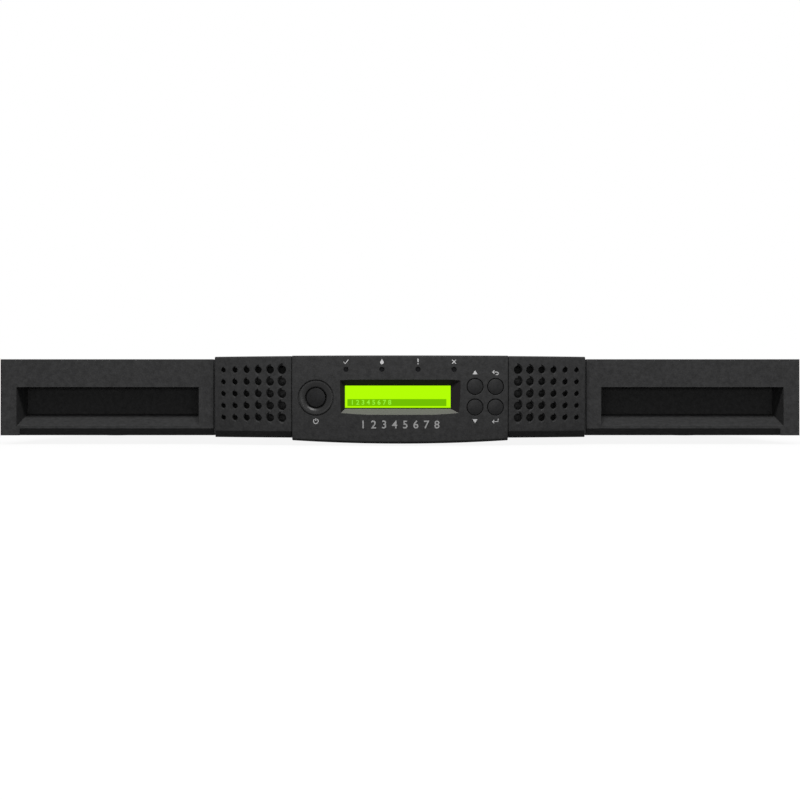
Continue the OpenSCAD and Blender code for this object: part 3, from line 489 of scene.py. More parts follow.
def circuit_board(name, top_z):
    """Solder mask with tracks; whatever stands on the board is dark package or bright metal."""
    finish = Finish(name, MASK_GREEN, 0.35)
    along = finish.x.every(TRACK_PITCH).within(0.9 * MM, 1.3 * MM)
    across = finish.y.every(TRACK_PITCH * 2).within(1.1 * MM, 1.5 * MM)
    patch = finish.noise(55, 1) > 0.5
    track = (along * patch + across * (1 - patch)).clamped()
    mask = finish.mix(track * 0.6, finish.colour, TRACK_GREEN)
    above = finish.z > top_z + 0.05 * MM
    package = finish.mix(finish.noise(35, 1) > 0.52, (0.015, 0.015, 0.016), (0.5, 0.5, 0.52))
    finish.set("Base Color", finish.mix(above, mask, package))
    finish.set("Roughness", above * 0.12 + 0.34)
    return finish.bump(track, 0.00003, 0.5).material


def panel_circuit(name):
    """The panel board stands upright: its mask shows in front and behind."""
    finish = Finish(name, MASK_GREEN, 0.4)
    tracks = finish.x.every(TRACK_PITCH).within(0.9 * MM, 1.3 * MM)
    finish.set("Base Color", finish.mix(tracks * 0.6, finish.colour, TRACK_GREEN))
    return finish.bump(tracks, 0.00003, 0.5).material


def frame_finish(name, colour):
    """The display's sloped frame: finer and smoother than the housing round it."""
    finish = Finish(name, colour, 0.4, Specular_IOR_Level=0.05)
    fine = finish.noise(1500, 2)
    finish.set("Base Color", finish.mix(fine, toned(colour, 0.85), toned(colour, 1.15)))
    finish.set("Roughness", (fine - 0.5) * 0.1 + 0.4)
    return finish.bump(fine, 0.000003, 0.4).material


def print_finish(name, level):
    """Screen-printed ink, a little uneven."""
    finish = Finish(name, (level, level, level), 0.55)
    return finish.shade(1.5, 1500, 0.8).bump(finish.noise(4000, 2), 0.00001, 0.4).material


def lit_display():
    """A backlit panel: bright ground, a deeper band that holds the digits, and a dark lower edge of
    painted shade.
    """
    finish = Finish("lit_display", UNLIT_GREEN, 0.3, Specular_IOR_Level=0.0)
    cell = finish.x.every(0.6 * MM) < 0.05 * MM
    ground = finish.mix(cell * 0.05, (0.45, 0.985, 0.002), (0.36, 0.86, 0.0))
    band = (finish.x.within(LIT_LEFT + 1.3 * MM, LIT_RIGHT - 2.3 * MM)
            * finish.z.within(BAND_LOW, BAND_HIGH))
    shown = finish.mix(band, ground, (0.17, 0.52, 0.001))
    # The thin dark strip along the lower edge is painted shade at the display's lower edge.
    edge = finish.z < LIT_LOW + 0.6 * MM
    finish.set("Emission Color", finish.mix(edge, shown, (0.03, 0.06, 0.004)))
    finish.set("Emission Strength", 1.0)
    return finish.material


def digit_finish():
    """The display's lit digits."""
    finish = Finish("lit_digits", UNLIT_GREEN, 0.4, Specular_IOR_Level=0.0)
    finish.set("Emission Color", finish.mix(finish.noise(900, 1), (0.36, 0.93, 0.05), (0.3, 0.86, 0.03)))
    finish.set("Emission Strength", 1.0)
    return finish.material


# Plastics: name, colour, roughness, grain per metre, depth of its relief, gloss
CHARCOAL = (0.041, 0.041, 0.0415)
front_plastic = grained_plastic("charcoal_grained_plastic", CHARCOAL, 0.5, 1200, 0.00012, 0.02)
button_plastic = grained_plastic("satin_button_plastic", (0.025, 0.025, 0.0255), 0.4, 2400, 0.00003, 0.06)
# The dish is the panel plastic made glossier and far darker: a real satin sheen, with painted shade in
# the hollow.
dish_sheen_painted_shade = grained_plastic("satin_dish_plastic", (0.008, 0.008, 0.0082), 0.36, 2400, 0.00001, 0.27)
power_plastic = grained_plastic("matt_power_cap_plastic", (0.0175, 0.0175, 0.018), 0.4, 2400, 0.00003,
                                0.06)
magazine_plastic = grained_plastic("magazine_tray_plastic", (0.045, 0.045, 0.048), 0.5, 1500, 0.00004,
                                   0.45)
picker_plastic = grained_plastic("glass_filled_plastic", (0.03, 0.03, 0.033), 0.55, 1100, 0.00005, 0.4)
fan_plastic = grained_plastic("fan_plastic", (0.012, 0.012, 0.012), 0.45, 1800, 0.00002, 0.4)
inlet_plastic = grained_plastic("inlet_plastic", (0.01, 0.01, 0.01), 0.38, 2000, 0.00001, 0.45)
chassis_paint = powder_coat("black_powder_coat", (0.024, 0.024, 0.025), 0.52)
zinc = zinc_sheet("bright_zinc_plate", (0.56, 0.57, 0.58), 0.42)
dull_zinc = zinc_sheet("black_passivated_zinc", (0.1, 0.1, 0.105), 0.5)
drive_metal = zinc_sheet("drive_housing_plate", (0.46, 0.47, 0.49), 0.5)
supply_metal = zinc_sheet("supply_housing_plate", (0.6, 0.61, 0.62), 0.5)
screw_metal = turned_metal("nickelled_screw_steel", (0.55, 0.54, 0.52), 0.28)
spring_metal = turned_metal("spring_steel", (0.6, 0.6, 0.61), 0.25)
rod_metal = turned_metal("ground_rod_steel", (0.72, 0.72, 0.73), 0.12)
pulley_metal = turned_metal("turned_aluminium", (0.68, 0.69, 0.7), 0.3)
motor_metal = turned_metal("black_motor_shell", (0.06, 0.06, 0.065), 0.35)
brass = turned_metal("standoff_brass", (0.68, 0.46, 0.18), 0.28)
port_metal = turned_metal("nickel_port_shell", (0.6, 0.6, 0.58), 0.3)
# A dark gauze behind the vent holes: painted shade for the dark inside of the unit.
shade_screen_mesh = woven_screen("dust_screen", (0.024, 0.024, 0.024))
foot_rubber = rubber("foot_rubber", (0.014, 0.014, 0.014))
belt_rubber = rubber("belt_rubber", (0.012, 0.012, 0.012))
light_plastic = grained_plastic("smoked_light_pipe", (0.006, 0.006, 0.007), 0.25, 2500, 0.000004, 0.03)
module_plastic = grained_plastic("display_module_shell", (0.02, 0.025, 0.02), 0.5, 1500, 0.00002, 0.4)
board_green = circuit_board("controller_board_mask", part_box("network_port")[0].z)
panel_green = panel_circuit("panel_board_mask")
frame_plastic = frame_finish("display_frame_plastic", (0.019, 0.0165, 0.018))
# The sill is the frame plastic made far lighter: a painted highlight on the frame's upward slope.
sill_painted_highlight = frame_finish("display_sill_plastic", (0.14, 0.138, 0.128))
white_ink = print_finish("white_ink", 0.62)
grey_ink = print_finish("grey_ink", 0.36)
display_material = lit_display()
digit_green = digit_finish()


# ---- Magazine faces ----

def magazine_face(side):
    """A magazine's face, with the CAD shape's edges softened; side is -1 for left and 1 for right."""
    name = "left_magazine_face" if side < 0 else "right_magazine_face"
    obj = cad_copy(name + "_moulding", name)
    bevel(obj, 0.35 * MM, 3, 20)
    smooth(obj, 30)
    body = "left_magazine" if side < 0 else "right_magazine"
    mount(obj, body, "front_plastic", name, material=front_plastic)


for one_side in (-1, 1):
    magazine_face(one_side)


# ---- Vent panels ----

def front_profile(low_z, high_z, bottom, top_round):
    """The upright section of a curved front, from its foot up, as (z, depth behind the plan curve)."""
    first = low_z + bottom[-1][0]
    last = high_z - top_round
    points = [(low_z + rise, crown(low_z + rise) + back) for rise, back in bottom]
    rows = 14
    heights = [first + (last - first) * i / rows for i in range(1, rows + 1)]
    points += [(z, crown(z)) for z in heights]
    points += [(last + dz, crown(last) + top_round + dy)
               for dy, dz in arc(0, 0, top_round, 180, 90, 5)[1:]]
    return points


def curved_block(name, radius, x0, x1, profile, back_y, inset=0.0, steps=64, smile=0.0, side_round=0.0):
    """A block whose front follows a plan curve and an upright profile; smile curves its lower edge."""
    bm = bmesh.new()
    low_z, high_z = profile[0][0], profile[-1][0]
    columns = []
    for i in range(steps + 1):
        x = x0 + (x1 - x0) * i / steps
        plan = PANEL_LOW.y + inset + sag(radius, x)
        rise = sag(smile, x) if smile else 0.0
        points = [(x, plan + depth, z + rise * (high_z - z) / (high_z - low_z)) for z, depth in profile]
        points += [(x, back_y, high_z), (x, back_y, points[0][2])]
        columns.append([bm.verts.new(point) for point in points])
    size = len(columns[0])
    for one, two in zip(columns, columns[1:]):
        for i in range(size):
            k = (i + 1) % size
            bm.faces.new((one[i], one[k], two[k], two[i]))
    bm.faces.new(columns[0])
    bm.faces.new(columns[-1])
    bmesh.ops.recalc_face_normals(bm, faces=bm.faces)
    if side_round:
        corners = [bm.edges.get(pair) for column in (columns[0], columns[-1])
                   for pair in zip(column[:len(profile)], column[1:len(profile)])]
        bmesh.ops.bevel(bm, geom=corners, offset=side_round, segments=3, profile=0.5, affect="EDGES",
                        clamp_overlap=True)
    return from_bmesh(name, bm)


class GeometryTree(NodeTree):
    """A Geometry Nodes tree with named inputs that ends in Realize Instances and Set Material."""

    def __init__(self, name, **inputs):
        super().__init__(bpy.data.node_groups.new(name, "GeometryNodeTree"))
        face = self.tree.interface
        face.new_socket(name="Geometry", in_out="INPUT", socket_type="NodeSocketGeometry")
        for label, value in inputs.items():
            kind = "NodeSocketInt" if isinstance(value, int) else "NodeSocketFloat"
            face.new_socket(name=label, in_out="INPUT", socket_type=kind).default_value = value
        face.new_socket(name="material", in_out="INPUT", socket_type="NodeSocketMaterial")
        face.new_socket(name="Geometry", in_out="OUTPUT", socket_type="NodeSocketGeometry")
        self.start = self.tree.nodes.new("NodeGroupInput")
        self.end = self.tree.nodes.new("NodeGroupOutput")

    def given(self, label):
        return Wire(self, self.start.outputs[label])

    def raised(self, geometry, z, turn):
        return self.node("GeometryNodeTransform", Geometry=geometry, Translation=self.joined(z=z),
                         Rotation=turn)

    def realized(self, geometry):
        return self.node("GeometryNodeRealizeInstances", Geometry=geometry)

    def minus(self, solid, *cutters):
        made = self.tree.nodes.new("GeometryNodeMeshBoolean")
        made.operation = "DIFFERENCE"
        made.solver = "EXACT"
        self.feed(made.inputs["Mesh 1"], solid)
        for cutter in cutters:
            self.feed(made.inputs["Mesh 2"], cutter)
        return Wire(self, made.outputs["Mesh"])

    def finish(self, geometry):
        painted = self.node("GeometryNodeSetMaterial", Geometry=self.realized(geometry),
                            Material=self.given("material"))
        self.feed(self.end.inputs["Geometry"], painted)
        return self.tree


def run_tree(obj, tree, **values):
    """Applies a tree to an object, with its inputs given by name."""
    mod = obj.modifiers.new("pattern", "NODES")
    mod.node_group = tree
    names = {item.name: item.identifier for item in tree.interface.items_tree if item.in_out == "INPUT"}
    for key, value in values.items():
        mod[names[key]] = value
    apply_modifiers(obj)


def perforation_tree():
    """Countersunk holes in rows and columns through a curved wall; they shrink from column to column."""
    g = GeometryTree("shrinking_vent_holes", columns=6, rows=5, first_x=0.0644, first_z=0.015,
                     pitch_x=0.00664, pitch_z=0.00655, hole_radius=0.0023, radius_step=0.00021,
                     plan_radius=0.217, front_y=0.0, crown_radius=0.215, crown_z=0.03, sink=0.0007,
                     flare=0.0007, depth=0.006, side=1.0)
    rows, hole = g.given("rows"), g.given("hole_radius")
    points = g.node("GeometryNodePoints", Count=g.given("columns") * rows)
    index = g.node("GeometryNodeInputIndex")
    column = (index / rows).math("FLOOR")
    row = index - column * rows
    x = g.given("first_x") + column * g.given("pitch_x")
    z = g.given("first_z") + row * g.given("pitch_z")
    plan, upright, rise = g.given("plan_radius"), g.given("crown_radius"), z - g.given("crown_z")
    y = (g.given("front_y") + plan - (plan * plan - x * x).math("SQRT")
         + upright - (upright * upright - rise * rise).math("SQRT"))
    spot = g.joined(x * g.given("side"), y, z)
    placed = g.node("GeometryNodeSetPosition", Geometry=points, Position=spot)
    size = (hole - column * g.given("radius_step")) / hole
    bore = g.node("GeometryNodeMeshCylinder", Vertices=28, Radius=hole, Depth=g.given("depth") * 2)
    cone = g.node("GeometryNodeMeshCone", Vertices=28, Radius_Top=hole, Depth=g.given("sink") * 2,
                  Radius_Bottom=hole + g.given("flare") * 2)
    cutters = []
    for shape in (bore, cone):
        copies = g.node("GeometryNodeInstanceOnPoints", Points=placed, Instance=shape,
                        Rotation=(-math.pi / 2, 0.0, 0.0), Scale=g.joined(size, size, 1.0))
        cutters.append(g.realized(copies))
    return g.finish(g.minus(g.given("Geometry"), *cutters))


vent_holes = perforation_tree()


def vent_panel(side):
    """A perforated moulding beside the control panel, with a fine dark screen behind its holes that
    stands in for the shade inside the unit.
    """
    name = "left_vent_panel" if side < 0 else "right_vent_panel"
    low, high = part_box(name)
    x0, x1 = low.x, high.x
    slope = [(0.0, 2.4 * MM), (3.3 * MM, 0.2 * MM), (3.6 * MM, 0.06 * MM), (4 * MM, 0.0)]
    shell = curved_block(name + "_moulding", VENT_R, x0, x1, front_profile(low.z, high.z, slope, 1 * MM),
                         high.y, side_round=0.6 * MM)
    inner = front_profile(low.z + WALL, high.z - WALL, [(0.0, 1.4 * MM), (2 * MM, 0.0)], 0.5 * MM)
    cut(shell, curved_block("hollow", VENT_R, x0 + WALL, x1 - WALL, inner, high.y + 1 * MM,
                            WALL * 1.08, 40))
    run_tree(shell, vent_holes, first_x=PANEL_HIGH.x + 5.6 * MM, first_z=FACE_Z + 10.1 * MM,
             front_y=PANEL_LOW.y, crown_radius=CROWN_R, crown_z=CROWN_Z, side=float(side),
             material=front_plastic)
    smooth(shell, 30)
    mount(shell, "chassis", "front_plastic", name, material=front_plastic)
    # A dark sheet behind the holes stands in for the shade inside the unit.
    sunk, thick, margin, rows = 6.5 * MM, 1 * MM, 6 * MM, 8
    screen = [(z, crown(z)) for z in (low.z + margin + i * (high.z - low.z - 2 * margin) / rows
                                      for i in range(rows + 1))]
    back_y = PANEL_LOW.y + sag(VENT_R, max(abs(x0), abs(x1))) + sunk + thick
    mesh = curved_block(name + "_dust_screen", VENT_R, x0 + 3 * MM, x1 - 3 * MM, screen, back_y, sunk, 24)
    smooth(mesh, 30)
    mount(mesh, "chassis", "front_plastic", material=shade_screen_mesh)


for one_side in (-1, 1):
    vent_panel(one_side)


# ---- Control panel ----

# The power button's dish: its radius with the groove round it, its roll, the groove and the well
DISH_R, DISH_ROLL, GROOVE, WELL_R = 9.9 * MM, 4.9 * MM, 0.8 * MM, 6.0 * MM
KEY_WELL_R, KEY_R, POWER_R = 4.5 * MM, 4.2 * MM, 5.15 * MM
LIGHT_HOLE_R, LIGHT_MOUTH_R = 1.35 * MM, 1.75 * MM


def panel_cutters():
    """Everything that is cut from the control panel's housing, as separate solids."""
    x0, x1, z0, z1 = LIT_LEFT, LIT_RIGHT, LIT_LOW, LIT_HIGH
    a0, a1 = x0 - BEVEL_LEFT, x1 + BEVEL_RIGHT
    mouth_y = SLOPE_END_Y - BEVEL_BACK
    cutters = [frustum("frame_slope", (a0, z0 - BEVEL_H, a1, z1 + BEVEL_H, mouth_y),
                       (x0, z0, x1, z1, SLOPE_END_Y)),
               block("frame_mouth", (a0, PANEL_LOW.y - 2 * MM, z0 - BEVEL_H),
                     (a1, mouth_y + 0.01 * MM, z1 + BEVEL_H)),
               block("glass_way", (x0, SLOPE_END_Y - 0.02 * MM, z0), (x1, WINDOW_LOW.y + 3 * MM, z1))]
    well, roll = KEY_WELL_R, 0.5 * MM
    profile = [(0, -2 * MM), (well + 0.9 * MM, -2 * MM), (well + 0.6 * MM, -0.05 * MM)]
    profile += arc(well + roll, roll, roll, 270, 180, 4) + [(well, 8 * MM), (0, 8 * MM)]
    for node in KEYS:
        cutters.append(wrap(lathe("well", profile, centre(node))))
    # The power button's dish, which rolls over into the well, and the groove round it
    rim = DISH_R - GROOVE
    profile = [(0, -2.5 * MM), (DISH_R, -2.5 * MM), (DISH_R, 1 * MM), (rim, 1 * MM), (rim, 0)]
    steps = 12
    for i in range(1, steps + 1):
        r = rim + (WELL_R - rim) * i / steps
        profile.append((r, sag(DISH_ROLL, rim - r)))
    ledge, bore = 3.6 * MM, 5.45 * MM
    profile += [(WELL_R, ledge), (bore, ledge), (bore, 9 * MM), (0, 9 * MM)]
    cutters.append(wrap(lathe("dish", profile, centre("power_button"), 96)))
    hole = LIGHT_HOLE_R
    profile = [(0, -1 * MM), (LIGHT_MOUTH_R, -1 * MM), (hole, 0.35 * MM), (hole, 7 * MM), (0, 7 * MM)]
    for x in LIGHTS:
        cutters.append(wrap(lathe("light_hole", profile, (x, 0, LIGHT_Z), 40)))
    return cutters


def panel_slot(face):
    """Which of the panel's plastics a face has: 0 housing, 1 display frame, 2 its sill, where a lighter
    copy of the frame plastic paints a highlight, 3 dish.
    """
    spot, slack = face.center, 0.1 * MM
    power = centre("power_button")
    reach = math.hypot(spot.x - power.x, spot.z - power.z)
    # The dish's hollow gets the darker, glossier copy: painted shade, with a real sheen.
    if WELL_R < reach < DISH_R - GROOVE and spot.y < panel_y(spot.x, spot.z) + 2 * MM:
        return 3
    inside = (LIT_LEFT - BEVEL_LEFT - slack < spot.x < LIT_RIGHT + BEVEL_RIGHT + slack
              and LIT_LOW - BEVEL_H - slack < spot.z < LIT_HIGH + BEVEL_H + slack)
    sloped = 0.2 < abs(face.normal.y) < 0.97 and SLOPE_END_Y - 4 * MM < spot.y < SLOPE_END_Y + slack
    if inside and sloped:
        # Slopes that face up get the lighter copy: a painted highlight where the light falls on them.
        return 2 if face.normal.z > 0.4 else 1
    return 0


def control_panel():
    """The middle moulding, which holds the display, the lights and the buttons."""
    low, high = PANEL_LOW, PANEL_HIGH
    round_foot = 1.6 * MM
    foot = [(round_foot + dz, round_foot + dy) for dy, dz in arc(0, 0, round_foot, 270, 180, 6)]
    shell = curved_block("control_panel_moulding", PANEL_R, low.x, high.x,
                         front_profile(low.z, high.z, foot, 1 * MM), high.y, steps=120, smile=SMILE_R,
                         side_round=0.4 * MM)
    inner = [(low.z + 3 * MM, 0.0), (high.z - WALL, 0.0)]
    cut(shell, curved_block("hollow", PANEL_R, low.x + WALL, high.x - WALL, inner, high.y + 1 * MM,
                            12 * MM, 60))
    for cutter in panel_cutters():
        cut(shell, cutter)
    shell.data.materials.clear()
    for material in (front_plastic, frame_plastic, sill_painted_highlight, dish_sheen_painted_shade):
        shell.data.materials.append(material)
    for face in shell.data.polygons:
        face.material_index = panel_slot(face)
    smooth(shell, 28)
    mount(shell, "chassis", "front_plastic", "control_panel")


control_panel()


def key_cap(name, body, radius, lift, dome, depth, material=button_plastic):
    """A domed cap with a rolled edge, set square to the panel's face, with its shank and stem."""
    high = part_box(name)[1]
    spot = centre(name)
    bowl = (radius * radius + dome * dome) / (2 * dome)
    roll = 0.35 * MM
    profile = [(0, -lift)]
    steps = 10
    for i in range(1, steps + 1):
        r = (radius - roll) * i / steps
        profile.append((r, -lift + sag(bowl, r)))
    profile += arc(radius - roll, profile[-1][1] + roll, roll, 270, 360, 4)[1:]
    profile += [(radius, depth), (0, depth)]
    cap = wrap(lathe("cap", profile, spot, 72))
    start = panel_y(spot.x, spot.z) + depth - 0.1 * MM
    back = high.y - 6 * MM
    stem = 2.2 * MM
    profile = [(0, start), (radius, start), (radius, back), (stem, back), (stem, high.y), (0, high.y)]
    shank = lathe("shank", profile, spot, 72)
    cap.data.materials.clear()
    obj = join(name + "_moulding", [cap, shank])
    smooth(obj, 35)
    mount(obj, body, "button_plastic", name, material=material)


for node_name, body_name in KEYS.items():
    key_cap(node_name, body_name, KEY_R, 0.7 * MM, 0.8 * MM, 3 * MM)
key_cap("power_button", "power_key", POWER_R, -0.3 * MM, 0.7 * MM, 4.5 * MM, power_plastic)


# ---- Display ----

def display():
    """The lit glass behind the sloped frame."""
    glass = block("display_glass", (LIT_LEFT, GLASS_FRONT_Y, LIT_LOW),
                  (LIT_RIGHT, WINDOW_HIGH.y, LIT_HIGH))
    bevel(glass, 0.12 * MM, 2)
    smooth(glass)
    mount(glass, "chassis", "display_glass", "display_window", material=display_material)


display()


# ---- Printed marks ----

# The pictograms: their size, the width of their lines, the thickness of the filled ones
MARK, LINE, MARK_DEPTH = 1.3 * MM, 0.42 * MM, 0.04 * MM
# How thick the digits are, and how far in front of the moulding the middle of the ink lies
INK_DEPTH, INK_LIFT = 0.03 * MM, 0.02 * MM
# How far the pictograms' middles lie above the lights, and above and below the buttons
LIGHT_MARK_RISE, KEY_MARK_RISE, KEY_MARK_DROP, POWER_MARK_DROP = 4.1 * MM, 7.6 * MM, 7.4 * MM, 12.7 * MM


def flat_prism(name, outline, y0, thickness):
    """A thin plate from an outline of (x, z) points."""
    bm = bmesh.new()
    front = [bm.verts.new((x, y0, z)) for x, z in outline]
    back = [bm.verts.new((x, y0 + thickness, z)) for x, z in outline]
    bm.faces.new(front)
    bm.faces.new(back[::-1])
    for i in range(len(outline)):
        k = (i + 1) % len(outline)
        bm.faces.new((front[i], back[i], back[k], front[k]))
    return from_bmesh(name, bm)


def from_curve(name, curve, matrix):
    """A plain mesh object from a curve or a text, changed by a matrix."""
    obj = new_object(name, curve)
    mesh = plain_mesh(obj)
    bpy.data.objects.remove(obj)
    mesh.transform(matrix)
    return new_object(name, mesh)


def stroke(points, width):
    """A flat ribbon along (x, z) points."""
    curve = bpy.data.curves.new("stroke", "CURVE")
    curve.dimensions = "3D"
    curve.bevel_depth = width / 2
    curve.bevel_resolution = 3
    curve.use_fill_caps = True
    spline = curve.splines.new("POLY")
    spline.points.add(len(points) - 1)
    for point, (x, z) in zip(spline.points, points):
        point.co = (x, 0, z, 1)
    flat = 0.12
    return from_curve("stroke", curve, Matrix.Diagonal((1, flat, 1, 1)))


def lay_on_panel(obj, x, z):
    """Moves a mark drawn about the origin onto the control panel's face."""
    for vertex in obj.data.vertices:
        vertex.co.x += x
        vertex.co.z += z
        vertex.co.y += panel_y(vertex.co.x, vertex.co.z) - INK_LIFT
    return obj


def lay_on_display(obj, x, z):
    """Moves a mark drawn about the origin onto the display's glass."""
    for vertex in obj.data.vertices:
        vertex.co.x += x
        vertex.co.z += z
        vertex.co.y += GLASS_FRONT_Y - INK_DEPTH
    return obj


def tick_mark():
    return [stroke([(-MARK, 0), (-MARK * 0.3, -MARK * 0.8), (MARK, MARK * 0.9)], LINE)]


def drop_mark():
    outline = [(0, MARK * 1.2)] + [(0.75 * x, 0.75 * z - MARK * 0.3)
                                   for x, z in arc(0, 0, MARK, 40, -220, 20)]
    return [flat_prism("drop", outline[::-1], -MARK_DEPTH / 2, MARK_DEPTH)]


def alert_mark():
    return [stroke([(0, MARK * 1.3), (0, -MARK * 0.15)], LINE * 1.4),
            stroke([(0, -MARK * 0.6), (0, -MARK * 1.05)], LINE * 1.4)]


def cross_mark():
    side = MARK * 0.8
    return [stroke([(-side, -side), (side, side)], LINE), stroke([(-side, side), (side, -side)], LINE)]


def up_mark(sign=1):
    half, foot = MARK * 1.05, -sign * MARK * 0.7
    outline = [(-half, foot), (half, foot), (0, sign * MARK * 0.95)]
    return [flat_prism("triangle", outline if sign < 0 else outline[::-1], -MARK_DEPTH / 2, MARK_DEPTH)]


def down_mark():
    return up_mark(-1)


def back_mark():
    head = [(-MARK * 0.5, MARK * 0.95), (-MARK * 1.3, MARK * 0.25), (-MARK * 0.5, -MARK * 0.45)]
    tail = [(-MARK * 1.2, MARK * 0.25), (MARK * 0.6, MARK * 0.25)] + [
        (MARK * 0.6 + 0.55 * x, -MARK * 0.3 + 0.55 * z) for x, z in arc(0, 0, MARK, 90, -90, 8)] + [
        (0, -MARK * 0.85)]
    return [stroke(head, LINE), stroke(tail, LINE)]


def enter_mark():
    head = [(-MARK * 0.55, MARK * 0.3), (-MARK * 1.25, -MARK * 0.35), (-MARK * 0.55, -MARK)]
    tail = [(-MARK * 1.2, -MARK * 0.35), (MARK * 1.1, -MARK * 0.35), (MARK * 1.1, MARK * 0.9)]
    return [stroke(head, LINE), stroke(tail, LINE)]


def power_mark():
    ring = [(x, z - MARK * 0.1) for x, z in arc(0, 0, MARK, 125, 415, 24)]
    return [stroke(ring, LINE), stroke([(0, MARK * 1.15), (0, MARK * 0.1)], LINE)]


def printed_marks():
    """Plain pictograms beside the lights and the buttons."""
    up, down = centre("up_button"), centre("down_button")
    cancel, enter = centre("cancel_button"), centre("enter_button")
    power = centre("power_button")
    lights = (tick_mark, drop_mark, alert_mark, cross_mark)
    marks = [(make, x, LIGHT_Z + LIGHT_MARK_RISE) for make, x in zip(lights, LIGHTS)]
    marks += [(up_mark, up.x, up.z + KEY_MARK_RISE), (back_mark, cancel.x, cancel.z + KEY_MARK_RISE),
              (down_mark, down.x, down.z - KEY_MARK_DROP), (enter_mark, enter.x, enter.z - KEY_MARK_DROP),
              (power_mark, power.x, power.z - POWER_MARK_DROP)]
    for make, x, z in marks:
        parts = [lay_on_panel(part, x, z) for part in make()]
        obj = join("print_" + make.__name__, parts)
        smooth(obj, 40)
        mount(obj, "chassis", "front_plastic", material=white_ink)


def digits(text, size, x, z, place, weight):
    """Plain digits as thin raised ink, laid by place."""
    curve = bpy.data.curves.new("digit", "FONT")
    curve.body = text
    curve.size = size
    curve.extrude = INK_DEPTH / 2
    curve.offset = weight
    curve.align_x = "CENTER"
    curve.align_y = "CENTER"
    return place(from_curve("digit", curve, Matrix.Rotation(math.pi / 2, 4, "X")), x, z)


def slot_numbers():
    """Plain slot numbers, on the panel and in the display's band."""
    pitch, z = 40 * MM / (TAPE_SLOTS - 1), FACE_Z + 6.3 * MM
    first = -pitch * (TAPE_SLOTS - 1) / 2
    obj = join("slot_numbers", [digits(str(i + 1), 6 * MM, first + i * pitch, z, lay_on_panel, 0.08 * MM)
                                for i in range(TAPE_SLOTS)])
    mount(obj, "chassis", "front_plastic", material=grey_ink)
    pitch, z = 2.9 * MM, (BAND_LOW + BAND_HIGH) / 2
    first = LIT_LEFT + 4 * MM
    obj = join("display_digits", [digits(str(i + 1), 3.6 * MM, first + i * pitch, z, lay_on_display,
                                         0.06 * MM) for i in range(TAPE_SLOTS)])
    mount(obj, "chassis", "display_glass", material=digit_green)


printed_marks()
slot_numbers()


# ---- Screws and other repeats ----

HEAD_HEIGHT = 0.9 * MM


def fastener_tree():
    """A pan head with a cross recess on every point of the input mesh."""
    g = GeometryTree("pan_head_screws", head_radius=0.003, head_height=HEAD_HEIGHT, slot_width=0.0007,
                     turn=0.0)
    radius, height = g.given("head_radius"), g.given("head_height")
    head = g.node("GeometryNodeMeshCone", Vertices=32, Radius_Top=radius * 0.72, Radius_Bottom=radius,
                  Depth=height)
    bar = g.node("GeometryNodeMeshCube", Size=g.joined(radius * 1.15, g.given("slot_width"), height))
    recess = [g.raised(bar, height * 0.85, (0.0, 0.0, angle)) for angle in (0.0, math.pi / 2)]
    points = g.node("GeometryNodeMeshToPoints", Mesh=g.given("Geometry"))
    spin = g.node("FunctionNodeRandomValue", {"data_type": "FLOAT"}, output="Value_001", Max_001=1.5,
                  Seed=7)
    copies = g.node("GeometryNodeInstanceOnPoints", Points=points, Instance=g.minus(head, *recess),
                    Rotation=g.joined(x=g.given("turn")))
    spun = g.node("GeometryNodeRotateInstances", Instances=copies, Rotation=g.joined(z=spin))
    return g.finish(spun)


screw_tree = fastener_tree()


def screws(name, places, turn, *nodes, radius=3 * MM):
    """Screw heads at these places on the chassis; the turn about X tips them from up to back."""
    bm = bmesh.new()
    for place in places:
        bm.verts.new(place)
    obj = from_bmesh(name, bm, recalculate=False)
    run_tree(obj, screw_tree, head_radius=radius, turn=turn, material=screw_metal)
    smooth(obj, 30)
    mount(obj, "chassis", "screw_steel", *nodes, material=screw_metal)


def cover_screws():
    """The cover's screws, where the CAD screws stand."""
    low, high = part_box("cover_screws")
    inset = 3 * MM
    step = (high.y - low.y - 2 * inset) / 3
    places = [(x, low.y + inset + i * step, high.z - HEAD_HEIGHT / 2)
              for x in (low.x + inset, high.x - inset) for i in range(4)]
    screws("cover_screw_heads", places, 0.0, "cover_screws")


def rear_screws():
    """Panel screws above and below, clear of the ports, the sled and the inlet."""
    low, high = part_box("rear_panel")
    side, middle = 6.3 * MM, 98 * MM
    places = [(x, high.y + HEAD_HEIGHT / 2, z) for x in (low.x + side, -middle, middle, high.x - side)
              for z in (low.z + 4.3 * MM, high.z - 4.4 * MM)]
    screws("rear_screw_heads", places, -math.pi / 2, radius=2.4 * MM)


cover_screws()
rear_screws()


# ---- Finishes of the pieces that keep their CAD shape ----

CAD_FINISH = (
    (chassis_paint, "base_tray top_cover rear_panel front_frame left_bay_wall right_bay_wall"),
    (foot_rubber, "feet"),
    (module_plastic, "display_module"),
    (light_plastic, "light_pipes"),
    (panel_green, "panel_board"),
    (magazine_plastic, "left_magazine_tray right_magazine_tray"),
    (zinc, "left_magazine_catch right_magazine_catch left_latch_housing right_latch_housing drive_sled"),
    (spring_metal, "left_magazine_springs right_magazine_springs gripper"),
    (rod_metal, "left_latch_pin right_latch_pin guide_rods idler_pin"),
    (dull_zinc, "rod_brackets"),
    (belt_rubber, "picker_belt"),
    (pulley_metal, "idler_pulley drive_pulley"),
    (motor_metal, "picker_motor"),
    (picker_plastic, "carriage turntable"),
    (drive_metal, "tape_drive"),
    (fan_plastic, "drive_fan_frame drive_fan_rotor supply_fan_frame supply_fan_rotor"),
    (screw_metal, "left_thumbscrew right_thumbscrew"),
    (supply_metal, "power_supply"),
    (inlet_plastic, "power_inlet"),
    (board_green, "controller_board"),
    (brass, "board_standoffs"),
    (port_metal, "network_port usb_port serial_port"),
)
